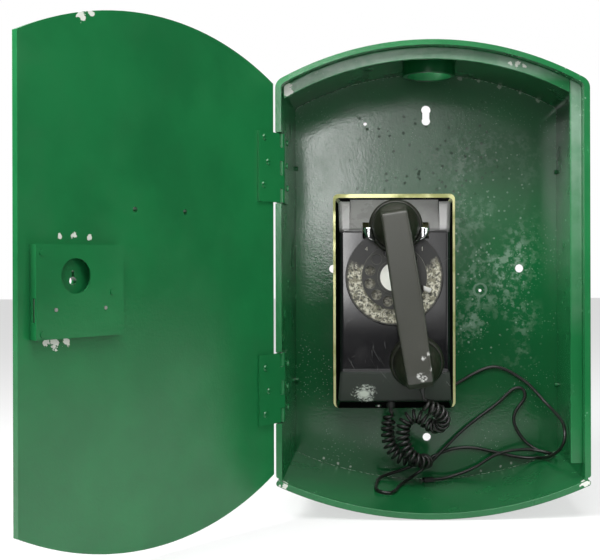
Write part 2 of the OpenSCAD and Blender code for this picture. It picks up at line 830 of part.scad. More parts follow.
module finger_stop() {
  front = wheel_back + wheel_t;
  color("#c4c4bc") translate([dial_x, 0, dial_z]) rotate([0, -stop_angle, 0]) {
    block(wheel_r + 1, wheel_r + 7, plate_back + plate_t, front + 1, -2.5, 2.5);
    block(hole_ring - finger_hole / 2 + 1, wheel_r + 7, front + 1, front + 2.4, -2.5, 2.5);
  }
}

function polar(r, a) = [r * cos(a), r * sin(a)];

module dial_frame() {
  front = plate_back - frame_plate;
  color("#8d8f8a") translate([dial_x, 0, dial_z]) difference() {
    union() {
      bar(0, 0, plate_r, front, plate_back);
      bar(0, 0, bridge_r, bridge_back, bridge_back + bridge_t);
      for (a = [90, 230, 310])
        bar(polar(post_at, a)[0], polar(post_at, a)[1], post_r, bridge_back + bridge_t / 2, front + 0.5);
    }
    bar(0, 0, shaft_r + run_fit, bridge_back - 1, plate_back + 1);
    bar(-pinion_at, 0, spindle_r + run_fit, bridge_back - 1, plate_back + 1);
    bar(governor_c[0], governor_c[1], governor_pin_r + run_fit, bridge_back - 1, plate_back + 1);
  }
}

governor_c = [-pinion_at, 0] + polar(governor_at, governor_angle);

module dial_spring() {
  color("#6d7075") translate([dial_x, 0, dial_z]) difference() {
    bar(0, 0, 10, bridge_back + bridge_t, bridge_back + bridge_t + 5);
    bar(0, 0, shaft_r + 1, bridge_back, bridge_back + bridge_t + 6);
  }
}

module dial_contacts() {
  back = bridge_back + bridge_t;
  color("#7a5a33") translate([dial_x, 0, dial_z]) {
    block(14, 26, back, back + 6, -4, 12);
    for (z = [-2, 3, 8]) block(12, 24, back + 6, back + 6.6, z, z + 3);
  }
}

module finger_wheel() {
  color("#1b1c1f") translate([dial_x, 0, dial_z]) difference() {
    union() {
      bar(0, 0, wheel_r, wheel_back, wheel_back + wheel_t);
      bar(0, 0, 8, wheel_back - 2.2, wheel_back + 0.5);
    }
    for (i = [0:hole_count - 1]) let (p = polar(hole_ring, hole_first + i * hole_step))
      bar(p[0], p[1], finger_hole / 2, wheel_back - 4, wheel_back + wheel_t + 1);
    bar(0, 0, shaft_r + run_fit, wheel_back - 4, wheel_back + wheel_t + 1);
  }
}

module dial_card() {
  front = wheel_back + wheel_t;
  color("#f2efe6") bar(dial_x, dial_z, card_r, front, front + 0.5);
}

module card_ring() {
  front = wheel_back + wheel_t;
  color("#1b1c1f") translate([dial_x, 0, dial_z]) difference() {
    bar(0, 0, card_r + 2, front, front + 1.2);
    bar(0, 0, card_r - 1.2, front + 0.5, front + 2);
    bar(0, 0, card_r + 0.05, front - 1, front + 0.5);
  }
}

module dial_shaft() {
  color("silver") bar(dial_x, dial_z, shaft_r, bridge_back - 1, wheel_back + wheel_t);
}

// Outline of a gear with n square teeth of height h inside radius r
module gear_outline(r, n, h) {
  step = 360 / n;
  polygon([for (i = [0:n - 1]) for (q = [0:3])
    polar(q == 0 || q == 3 ? r - h : r, (i + [0.1, 0.3, 0.6, 0.8][q]) * step)]);
}

module main_gear() {
  back = bridge_back + 10;
  color("#b08a3c") translate([dial_x, 0, dial_z]) difference() {
    between(back, back + 2) gear_outline(gear_r, gear_teeth, 1.4);
    bar(0, 0, shaft_r, back - 1, back + 3);
  }
}

module pulse_pinion() {
  back = bridge_back + 9.5;
  color("#b08a3c") translate([dial_x - pinion_at, 0, dial_z]) {
    bar(0, 0, spindle_r, bridge_back + 0.3, plate_back - 0.3);
    between(back, back + 3) gear_outline(pinion_r, 12, 1);
    between(back + 5.5, back + 7) gear_outline(second_r, 32, 1);
  }
}

module dial_governor() {
  back = bridge_back + 4;
  color("#b08a3c") translate([dial_x + governor_c[0], 0, dial_z + governor_c[1]]) {
    bar(0, 0, governor_pin_r, bridge_back + 0.3, plate_back - 0.3);
    bar(0, 0, governor_r, back, back + 5);
    between(bridge_back + 14.6, bridge_back + 17) gear_outline(governor_pinion_r, 16, 0.5);
  }
}

// One prong as seen from the room, cut to the round of the handset's neck
module prong_outline(s, r) {
  difference() {
    intersection() {
      translate([ear_x + s * prong_out, prong_top]) circle(r = prong_r);
      translate([ear_x - 60, prong_top - prong_r]) square([120, prong_r]);
    }
    translate([ear_x, ear_z]) circle(r = r);
  }
}

module hook_lever() {
  color("silver") for (s = [-1, 1]) {
    between(prong_stem, prong_back) difference() {
      prong_outline(s, cap_r + neck_gap);
      translate([dial_x, dial_z]) circle(r = plate_r + 1.1);
    }
    between(prong_back, lip_back) prong_outline(s, cap_r + neck_gap);
    between(lip_back, prong_front) prong_outline(s, neck_r + neck_gap);
    difference() {
      across(ear_x + s * (arm_out - arm_t / 2) - arm_t / 2, ear_x + s * (arm_out - arm_t / 2) + arm_t / 2)
        polygon([[hook_depth, hook_z - hook_tube_r], [prong_stem + 2, prong_top - 6.5],
          [prong_stem + 2, prong_top], [hook_depth, hook_z + hook_tube_r]]);
      hook_bore();
    }
  }
  color("silver") difference() {
    translate([ear_x - arm_out, -hook_depth, hook_z]) rotate([0, 90, 0])
      cylinder(r = hook_tube_r, h = 2 * arm_out);
    hook_bore();
  }
}

module hook_bore() {
  translate([ear_x - hook_ear_out - 1, -hook_depth, hook_z]) rotate([0, 90, 0])
    cylinder(r = hook_pin_r + run_fit, h = 2 * hook_ear_out + 2);
}

module hook_bracket() {
  color("#b9bd8a") difference() {
    union() {
      block(ear_x - hook_ear_out, ear_x + hook_ear_out, base_front, base_front + 1.5, hook_z - 7, hook_z + 7);
      for (x = [ear_x - hook_ear_out, ear_x + hook_ear_out - ear_t])
        block(x, x + ear_t, base_front + 1, hook_depth + 5, hook_z - 5, hook_z + 5);
    }
    hook_bore();
  }
}

module hook_pin() {
  color("silver") translate([ear_x - hook_ear_out - 0.8, -hook_depth, hook_z]) rotate([0, 90, 0])
    cylinder(r = hook_pin_r, h = 2 * hook_ear_out + 1.6);
}

module hook_spring() {
  color("#6d7075") translate([ear_x, 0, 0]) difference() {
    union() {
      translate([-6, -hook_depth, hook_z]) rotate([0, 90, 0]) cylinder(r = hook_tube_r + 1.4, h = 12);
      block(-6, -4.6, base_front + 1.5, hook_depth, hook_z - 5.2, hook_z - 3.9);
    }
    translate([-7, -hook_depth, hook_z]) rotate([0, 90, 0]) cylinder(r = hook_tube_r + 0.3, h = 14);
  }
}

module hook_contacts() {
  color("#7a5a33") translate([ear_x, 0, 0]) {
    block(10, 22, base_front + 1.5, base_front + 6, hook_z - 6.5, hook_z + 6.5);
    for (x = [11, 15, 19])
      block(x, x + 2, base_front + 6, hook_depth - hook_tube_r - 0.5, hook_z - 1, hook_z + 1);
  }
}

module ringer_frame() {
  front = base_front + ringer_t;
  color("#9aa08c") difference() {
    union() {
      block(gong_x[0] - 6, gong_x[1] + 8, base_front, front, gong_z - 9, gong_z + 10);
      block(coil_x[0] - cheek_t, coil_x[1] + cheek_t, base_front, front, gong_z + 5, coil_z + 13);
      for (x = [coil_x[0] - cheek_t, coil_x[1]])
        block(x, x + cheek_t, front - 0.5, coil_depth + 13, coil_z - 13, coil_z + 13);
      for (x = gong_x) bar(x, gong_z, gong_post_r, front - 0.5, gong_front - gong_wall);
      bar(clapper_x, clapper_z, spindle_r, front - 0.5, clapper_depth + 5);
    }
    for (x = gong_x) bar(x, gong_z, screw_r + screw_fit, front + 4, gong_front + 1);
  }
}

module ringer_coil() {
  color("#7c3b1d") translate([coil_x[0], -coil_depth, coil_z]) rotate([0, 90, 0])
    cylinder(r = coil_r, h = coil_x[1] - coil_x[0]);
}

module gong(x) {
  r = gong_d / 2;
  color("#b7b09a") difference() {
    union() {
      bar(x, gong_z, r, gong_front - gong_deep, gong_front - 3);
      taper(x, gong_z, r, r - 3, gong_front - 3, gong_front);
    }
    bar(x, gong_z, r - gong_wall, gong_front - gong_deep - 1, gong_front - 3);
    taper(x, gong_z, r - gong_wall, r - gong_wall - 1.5, gong_front - 3, gong_front - gong_wall);
    bar(x, gong_z, screw_r + 0.2, gong_front - 4, gong_front + 1);
  }
}

module left_gong() {
  gong(gong_x[0]);
}

module right_gong() {
  gong(gong_x[1]);
}

module gong_screws() {
  color("silver") for (x = gong_x) {
    bar(x, gong_z, screw_r, base_front + ringer_t + 5, gong_front);
    taper(x, gong_z, 4, 3.2, gong_front, gong_front + 2);
  }
}

module clapper() {
  color("silver") {
    difference() {
      union() {
        bar(clapper_x, clapper_z, 4, clapper_depth - 4, clapper_depth + 3);
        block(clapper_x - 2, clapper_x + 2, clapper_depth - 3, clapper_depth + 2,
          clapper_z, coil_z - coil_r - 1);
        block(clapper_x - 4, clapper_x + 4, clapper_depth - 3, clapper_depth + 2,
          coil_z - coil_r - 3.5, coil_z - coil_r - 1);
        translate([clapper_x, -clapper_depth, gong_z]) cylinder(r = 1, h = clapper_z - gong_z - 2);
      }
      bar(clapper_x, clapper_z, spindle_r + run_fit, clapper_depth - 5, clapper_depth + 6);
    }
    translate([clapper_x, -clapper_depth, gong_z]) sphere(r = ball_r);
  }
}

network = [-96, -48, 36, -58, 28];

module network_block() {
  color("#3c3a36") difference() {
    block(network[0], network[1], base_front, network[2], network[3], network[4]);
    at_terminals() bar(0, 0, screw_r + screw_fit, network[2] - 5, network[2] + 1);
  }
}

module at_terminals() {
  for (i = [0:5], x = [network[0] + 6, network[1] - 6])
    translate([x, 0, network[3] + 8 + i * 14]) children();
}

module terminal_screws() {
  color("#b08a3c") at_terminals() {
    bar(0, 0, screw_r, network[2] - 4.5, network[2]);
    bar(0, 0, 3.2, network[2], network[2] + 1.8);
  }
}

module line_clamp() {
  color("#101010") difference() {
    block(clamp_x - 8, clamp_x, base_front, line_start[1] + 4.5, line_start[2] - 4.5, line_start[2] + 4.5);
    translate([clamp_x - 9, -line_start[1], line_start[2]]) rotate([0, 90, 0])
      cylinder(r = line_r - 0.4, h = 7);
  }
}

// Smooth curve through a list of points, n steps between each two
function curve(p, n) = [for (i = [0:len(p) - 2]) for (k = [0:n - 1])
  let (a = p[max(i - 1, 0)], b = p[i], c = p[i + 1], d = p[min(i + 2, len(p) - 1)], t = k / n)
  0.5 * (2 * b + t * (c - a) + t * t * (2 * a - 5 * b + 4 * c - d) + t * t * t * (3 * b - a - 3 * c + d)),
  p[len(p) - 1]];
// Running length along a list of points
function run(p, i = 1, r = [0]) = i >= len(p) ? r :
  run(p, i + 1, concat(r, [r[i - 1] + norm(p[i] - p[i - 1])]));
// The same line at n even steps
function even(p, n) = let (s = run(p), end = s[len(p) - 1])
  [for (k = [0:n]) [for (q = [0:2]) lookup(end * k / n, [for (i = [0:len(p) - 1]) [s[i], p[i][q]]])]];
function length_of(p) = let (s = run(p)) s[len(p) - 1];
// Evens out sharp bends by averaging each point with its neighbours n times; four points at each end stay
function smoothed(p, n) = n == 0 ? p : smoothed([for (i = [0:len(p) - 1])
  i < 4 || i > len(p) - 5 ? p[i] : (p[i - 1] + 2 * p[i] + p[i + 1]) / 4], n - 1);
function heading(p, i) = unit(p[min(i + 1, len(p) - 1)] - p[max(i - 1, 0)]);
function square_to(v, t) = unit(v - (v * t) * t);
// A sideways direction at each point that turns no more than the line does
function sideways(p, start, i = 0, r = []) = i >= len(p) ? r :
  sideways(p, start, i + 1, concat(r, [square_to(i == 0 ? start : r[i - 1], heading(p, i))]));
// Points are written X, depth, Z
function place(p) = [for (q = p) [q[0], -q[1], q[2]]];

// A solid tube along points, with a sideways direction at each
module tube(p, side, r, n) {
  last = len(p) - 1;
  rings = [for (i = [0:last]) let (t = heading(p, i), u = side[i], v = cross(t, u))
    for (j = [0:n - 1]) p[i] + r * (cos(j * 360 / n) * u + sin(j * 360 / n) * v)];
  walls = [for (i = [0:last - 1], j = [0:n - 1])
    let (a = i * n + j, b = i * n + (j + 1) % n) each [[a, a + n, b], [b, a + n, b + n]]];
  ends = [for (j = [1:n - 2]) each [[0, j, j + 1], [last * n, last * n + j + 1, last * n + j]]];
  polyhedron(points = rings, faces = concat(walls, ends), convexity = 10);
}

module line_cord() {
  path = even(curve(place(line_route), 6), line_rings);
  color("#1c1c1e") tube(path, sideways(path, [0, 0, 1]), line_r, line_sides);
}

module cord_connector() {
  end = line_route[len(line_route) - 1];
  way = unit(end - line_route[len(line_route) - 2]);
  color("#101010") translate([end[0], -end[1], end[2]]) rotate([0, 0, atan2(-way[1], way[0])]) {
    translate([0, -connector_w / 2, -connector_h / 2]) cube([connector_len, connector_w, connector_h]);
    for (y = [-3.2, -0.8, 1.6]) translate([connector_len, y, -0.4]) cube([5, 1.6, 0.8]);
  }
}

// A point of the handset, from its own frame, as X, depth, Z
function handset_point(x, d, z) = [handset_x + x * cos(handset_tilt) + z * sin(handset_tilt), d,
  handset_z - x * sin(handset_tilt) + z * cos(handset_tilt)];
curl_points = concat([handset_point(boot_x, boot_depth, -boot_end - boot_gap),
  handset_point(boot_x, boot_depth, -boot_end - boot_gap - curl_wire)], curl_route,
  [[exit_x, exit_depth, exit_z - curl_wire], [exit_x, exit_depth, exit_z]]);
curl_line = curve(place(curl_points), 8);
curl_steps = round(length_of(curl_line) / curl_pitch * curl_rings);
curl_core = smoothed(even(curl_line, curl_steps), 20);
curl_run = run(curl_core);
curl_end = curl_run[curl_steps];
curl_side = sideways(curl_core, [0, 1, 0]);
// How far the curls have opened at a length s: none over one wire's width at each end
function opened(s) = let (t = min(1, max(0, (min(s, curl_end - s) - curl_wire) / curl_ease)))
  t * t * (3 - 2 * t);
curl_path = [for (i = [0:curl_steps])
  let (a = 360 * i / curl_rings, t = heading(curl_core, i), u = curl_side[i])
  curl_core[i] + opened(curl_run[i]) * (curl_d - curl_wire) / 2 * (cos(a) * u + sin(a) * cross(t, u))];
// Least gap between curls that are at least half a turn apart, measured on four points a ring
curl_fine = [for (i = [0:curl_steps - 1], k = [0:3])
  curl_path[i] + (curl_path[i + 1] - curl_path[i]) * k / 4];
curl_gap = min([for (i = [0:len(curl_fine) - 17]) for (j = [i + 16:min(i + 160, len(curl_fine) - 1)])
  norm(curl_fine[i] - curl_fine[j])]) - curl_wire;

module handset_cord() {
  echo(curls = curl_steps / curl_rings, least_gap = curl_gap, core_length = curl_end);
  color("#141416") tube(curl_path, sideways(curl_path, [0, 1, 0]), curl_wire / 2, curl_sides);
}

// The handset's own frame
module at_handset() {
  translate([handset_x, 0, handset_z]) rotate([0, handset_tilt, 0]) children();
}

module at_ear() {
  translate([0, -ear_face, cap_span / 2]) children();
}

module at_mouth() {
  translate([0, -mouth_face, -cap_span / 2]) rotate([mouth_tilt, 0, 0]) children();
}

handle_view = [[handle_back, -58], [handle_back - 2, -70], [handle_back - 6, -99], [handle_front - 12, -101],
  [handle_front - 2.5, -95], [handle_front, -86], [handle_front, 80], [handle_front - 3, 88],
  [handle_front - 13, 95], [handle_back - 8, 98], [handle_back - 8, 50], [handle_back, 43]];

// The round end of the handle behind a cap, before it is bored
module handle_cup() {
  bar(0, 0, neck_r, 3.3, cup_len);
  taper(0, 0, neck_r, handle_w / 2, cup_len, cup_len + 16);
}

module handle_bore() {
  bar(0, 0, neck_r - cup_wall, 2, cap_wall + unit_deep + 1);
}

module handset_handle() {
  color("#4b4c4a") at_handset() difference() {
    union() {
      across(-handle_w / 2, handle_w / 2) polygon(handle_view);
      at_ear() handle_cup();
      at_mouth() handle_cup();
    }
    at_ear() handle_bore();
    at_mouth() handle_bore();
    boot_bore();
  }
}

module boot_bore() {
  translate([boot_x, -boot_depth, -boot_end]) cylinder(r = boot_r + screw_fit, h = boot_end - boot_start + 5);
}

module cap() {
  difference() {
    bar(0, 0, cap_r, 0, cap_deep);
    bar(0, 0, neck_r + 0.3, cap_wall, cap_deep + 1);
    for (i = [0:6]) let (p = i == 0 ? [0, 0] : polar(9, i * 60)) bar(p[0], p[1], 1.3, -1, cap_wall + 1);
  }
}

module ear_cap() {
  color("#38393a") at_handset() at_ear() cap();
}

module mouth_cap() {
  color("#38393a") at_handset() at_mouth() cap();
}

module receiver_unit() {
  color("#8b8d8a") at_handset() at_ear() bar(0, 0, unit_r, cap_wall + 0.1, cap_wall + unit_deep);
}

module transmitter_unit() {
  color("#8b8d8a") at_handset() at_mouth() bar(0, 0, unit_r, cap_wall + 0.1, cap_wall + unit_deep);
}

module cord_boot() {
  color("#2a2b2b") at_handset() translate([boot_x, -boot_depth, 0]) {
    translate([0, 0, -boot_start]) cylinder(r = boot_r, h = 4);
    translate([0, 0, -boot_end]) cylinder(r1 = curl_wire / 2 + 0.6, r2 = boot_r, h = boot_end - boot_start);
  }
}

case_wall();
back_plate();
bottom_plate();
top_stop();
side_stop();
conduit_hub();
wall_studs();
upper_case_leaf();
lower_case_leaf();
hinge_pins();
case_leaf_screws();
door_plate();
upper_door_leaf();
lower_door_leaf();
door_leaf_screws();
lock_case();
lock_bolt();
lock_guide_pins();
lock_screws();
base_plate();
base_spacers();
mounting_screws();
housing();
housing_screw();
cord_grommet();
number_plate();
finger_stop();
dial_frame();
dial_spring();
dial_contacts();
finger_wheel();
dial_card();
card_ring();
dial_shaft();
main_gear();
pulse_pinion();
dial_governor();
hook_lever();
hook_bracket();
hook_pin();
hook_spring();
hook_contacts();
ringer_frame();
ringer_coil();
left_gong();
right_gong();
gong_screws();
clapper();
network_block();
terminal_screws();
line_clamp();
line_cord();
cord_connector();
handset_cord();
handset_handle();
ear_cap();
mouth_cap();
receiver_unit();
transmitter_unit();
cord_boot();
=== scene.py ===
import bpy, bmesh, json, math
from mathutils import Matrix, Vector


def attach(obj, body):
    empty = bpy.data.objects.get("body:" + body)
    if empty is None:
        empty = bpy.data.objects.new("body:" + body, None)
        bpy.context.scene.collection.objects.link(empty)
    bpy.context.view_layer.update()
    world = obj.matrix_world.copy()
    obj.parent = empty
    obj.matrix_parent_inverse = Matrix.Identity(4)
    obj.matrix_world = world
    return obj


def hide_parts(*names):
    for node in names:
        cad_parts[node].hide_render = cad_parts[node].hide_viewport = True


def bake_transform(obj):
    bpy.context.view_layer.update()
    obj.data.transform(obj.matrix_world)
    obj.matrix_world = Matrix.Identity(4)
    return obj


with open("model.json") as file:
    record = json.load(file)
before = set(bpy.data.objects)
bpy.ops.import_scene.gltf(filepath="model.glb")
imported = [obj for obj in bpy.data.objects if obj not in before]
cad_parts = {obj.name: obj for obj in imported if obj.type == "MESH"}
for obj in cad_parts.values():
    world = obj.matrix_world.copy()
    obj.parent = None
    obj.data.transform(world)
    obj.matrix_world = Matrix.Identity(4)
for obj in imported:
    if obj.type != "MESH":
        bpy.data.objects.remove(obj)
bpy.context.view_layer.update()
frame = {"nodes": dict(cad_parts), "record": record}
scene = bpy.context.scene
nodes = frame["nodes"]
MM = 0.001
PHONE_X = -37.5
DIAL_X, DIAL_Z = -37.8, 1.2
EAR_X, EAR_Z = -36.27, 56.57

# The camera stands where the photograph was taken from, and this point of the photograph is straight ahead
PHOTO_W, PHOTO_H = 600, 560
AHEAD_X, AHEAD_Y = 384.46, 264.61
camera_data = bpy.data.cameras.new("camera")
camera_data.sensor_width = 36
camera_data.lens = 60
camera_data.shift_x = 0.5 - AHEAD_X / PHOTO_W
camera_data.shift_y = (AHEAD_Y - PHOTO_H / 2) / PHOTO_W
camera_data.clip_end = 20
camera = bpy.data.objects.new("camera", camera_data)
camera.location = (-0.04876, -1.171, 0.0148)
camera.rotation_euler = (math.radians(90), math.radians(0.15), 0)
scene.collection.objects.link(camera)
scene.camera = camera

# The two cords: their routes are written as X, depth and Z in millimetres. LINE_D and CURL_WIRE are how
# thick they are, CURL_D is the width over the curls, CURL_PITCH the step from curl to curl, and CURL_EASE
# the length over which the curls open
LINE_D = 3.4 * MM
LINE_POINTS, LINE_SMOOTHING = 560, 8
LINE_ROUTE = [(-22, 13.5, -133.5), (-14, 13.5, -133.5), (-4, 12.2, -133), (6, 9.4, -131.5), (15, 7, -130),
              (24, 6.2, -127.5), (36, 6.2, -123.5), (50, 6.2, -115), (64, 6.2, -108), (73, 6.2, -105),
              (82, 6.2, -104.5), (95, 6.3, -109), (106, 7, -115.5), (116, 8.5, -122.5), (126, 11, -132.5),
              (134, 16, -142), (141, 25, -149.5), (146.5, 40, -156), (149, 57, -161), (149.4, 69, -168),
              (148.6, 74, -178), (144.5, 69, -189), (138.5, 54, -198.5), (134.5, 33, -205.5),
              (131, 15, -208.8), (118, 8, -210.5), (98, 6.4, -208), (74, 6.2, -202.5), (57, 6.2, -199),
              (40, 6.2, -198.5), (23, 6.2, -202), (-2, 6.4, -213), (-24, 9, -222), (-39, 13, -226),
              (-50, 21, -228), (-56, 35, -228.3), (-58, 60, -228), (-58.8, 80, -228), (-58, 90.5, -228.2),
              (-54, 98, -228.8), (-47.8, 100.6, -229.5), (-41.6, 97.6, -230), (-36.6, 80, -230.6),
              (-31, 52, -231.2), (-20, 24, -230), (-9, 13, -225), (0, 11.2, -218.5), (9, 11.2, -210),
              (22, 11, -196.5), (40, 9.4, -179), (60, 8, -163), (81, 6.6, -148), (92, 6.2, -137.8),
              (99.5, 6.2, -131), (107, 6.2, -128), (113.6, 6.2, -131), (115.4, 6.2, -138),
              (111.5, 6.2, -145.5), (105.5, 6.2, -152.5), (101.5, 6.2, -161), (102, 6.2, -172),
              (110, 7, -186), (120, 10, -196), (132, 15, -201.5), (140, 20, -203.3), (144.5, 27, -202.8),
              (142, 34.5, -200.8), (134, 37, -198.4), (124, 33, -197), (113, 25, -197.5), (97, 17.5, -200),
              (82, 13.5, -204.5), (70, 12, -211), (60, 11.5, -218), (48, 11.5, -224), (32, 12.5, -229.5),
              (20, 16, -232), (12, 19, -232.2), (7, 20.5, -232.3)]
CURL_WIRE = 3.6
CURL_D = 16
CURL_PITCH = 6.2
CURL_POINTS, CURL_SMOOTHING = 8, 20
FINE = 3
CURL_EASE = 10
SLOWEST_TURN = 0.1
CURL_ROUTE = [(-6.5, 98, -131.8), (-3.8, 97.3, -136.2), (1.2, 95.8, -139.3), (7, 93.5, -141.8),
              (12, 90, -146.5), (14.8, 85, -153.5), (13.2, 78.8, -160.2), (7.5, 73, -163.6),
              (0.5, 68.6, -161.8), (-5.5, 65.3, -156.8), (-12.8, 62.8, -153.2), (-20.5, 61, -154.6),
              (-26, 60, -160.5), (-28.6, 60, -169.5), (-28.4, 60.5, -179), (-25.8, 61.3, -188.5),
              (-21, 62, -196.5), (-14, 61, -202), (-6.2, 56.6, -205), (-2, 47.8, -206.4),
              (-5.8, 38.4, -207), (-14.5, 33.3, -207.6), (-24, 32, -207), (-33, 32.5, -203.5),
              (-40, 33, -196.5), (-44.3, 33.3, -187), (-45.8, 33, -176), (-44.6, 31.7, -165.5),
              (-42.6, 30.4, -157)]
CORD_EXIT = (-42, 30, -148)
BOOT_X, BOOT_DEPTH, BOOT_R, BOOT_END = 1, 98, 3.25, -109.1
HANDSET_X, HANDSET_Z, HANDSET_TILT = -25.2, -16.6, math.radians(-8.6)


def metres(points):
    """Points written as X, depth, Z in millimetres, as places in the scene."""
    return [Vector((x, -depth, z)) * MM for x, depth, z in points]


def handset_point(x, depth, z):
    """A point of the handset's own frame as X, depth, Z of the whole object."""
    c, s = math.cos(HANDSET_TILT), math.sin(HANDSET_TILT)
    return HANDSET_X + x * c + z * s, depth, HANDSET_Z - x * s + z * c


def curve_through(points, steps):
    """A smooth curve through the points, with the given steps between each two."""
    line, last = [], len(points) - 1
    for i in range(last):
        a, b, c, d = points[max(i - 1, 0)], points[i], points[i + 1], points[min(i + 2, last)]
        for k in range(steps):
            t = k / steps
            line.append(0.5 * (2 * b + t * (c - a) + t * t * (2 * a - 5 * b + 4 * c - d)
                               + t ** 3 * (3 * b - a - 3 * c + d)))
    return line + [points[-1]]


def running_length(points):
    """The length of the line up to each point."""
    total = [0.0]
    for a, b in zip(points, points[1:]):
        total.append(total[-1] + (b - a).length)
    return total


def even_steps(points, count):
    """The same line at count even steps."""
    run = running_length(points)
    line, i = [], 0
    for k in range(count + 1):
        s = run[-1] * k / count
        while i < len(run) - 2 and run[i + 1] < s:
            i += 1
        line.append(points[i].lerp(points[i + 1], (s - run[i]) / (run[i + 1] - run[i])))
    return line


def heading(points, i):
    """The line's direction at a point."""
    return (points[min(i + 1, len(points) - 1)] - points[max(i - 1, 0)]).normalized()


def sideways(points, start):
    """A sideways direction at each point that turns no more than the line does."""
    side, found = Vector(start), []
    for i in range(len(points)):
        way = heading(points, i)
        side = (side - side.dot(way) * way).normalized()
        found.append(side.copy())
    return found


def smoothed(points, times):
    """Evens out sharp bends; four points at each end stay."""
    for _ in range(times):
        points = [p if i < 4 or i > len(points) - 5 else (points[i - 1] + 2 * p + points[i + 1]) / 4
                  for i, p in enumerate(points)]
    return points


def as_tube(name, points, diameter, roundness):
    """A round cord along the points, as a mesh."""
    data = bpy.data.curves.new(name, "CURVE")
    data.dimensions = "3D"
    data.bevel_depth = diameter / 2
    data.bevel_resolution = roundness
    data.use_fill_caps = True
    line = data.splines.new("POLY")
    line.points.add(len(points) - 1)
    for spot, p in zip(line.points, points):
        spot.co = (*p, 1)
    drawn = bpy.data.objects.new(name + "_line", data)
    piece = bpy.data.objects.new(name, bpy.data.meshes.new_from_object(drawn))
    bpy.data.objects.remove(drawn)
    scene.collection.objects.link(piece)
    return piece


line_path = smoothed(even_steps(curve_through(metres(LINE_ROUTE), 10), LINE_POINTS), LINE_SMOOTHING)
line_cord = as_tube("line_cord_jacket", line_path, LINE_D, 4)
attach(line_cord, "case")
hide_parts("line_cord")

# The curls: a core line, and the cord wound about it, opening from nothing and turning slowly at each end
curl_ends = [handset_point(BOOT_X, BOOT_DEPTH, z) for z in (BOOT_END, BOOT_END - CURL_WIRE)]
curl_ends_at_phone = [(CORD_EXIT[0], CORD_EXIT[1], CORD_EXIT[2] - CURL_WIRE), CORD_EXIT]
curl_points = metres(curl_ends + CURL_ROUTE + curl_ends_at_phone)
curl_line = curve_through(curl_points, 8)
curl_steps = round(running_length(curl_line)[-1] / (CURL_PITCH * MM) * CURL_POINTS)
curl_core = smoothed(even_steps(curl_line, curl_steps), CURL_SMOOTHING)
fine_core = even_steps(curve_through(curl_core, FINE), curl_steps * FINE)
core_run = running_length(fine_core)
core_side = sideways(fine_core, (0, 1, 0))
curl_path = []
turn = 0
for i, p in enumerate(fine_core):
    s = core_run[i]
    t = min(1, max(0, (min(s, core_run[-1] - s) - CURL_WIRE * MM) / (CURL_EASE * MM)))
    reach = t * t * (3 - 2 * t) * (CURL_D - CURL_WIRE) / 2 * MM
    turn += 2 * math.pi / (CURL_POINTS * FINE) * (SLOWEST_TURN + (1 - SLOWEST_TURN) * t * t)
    way = heading(fine_core, i)
    curl_path.append(p + reach * (math.cos(turn) * core_side[i] + math.sin(turn) * way.cross(core_side[i])))
handset_cord = as_tube("handset_cord_jacket", curl_path, CURL_WIRE * MM, 3)
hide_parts("handset_cord")


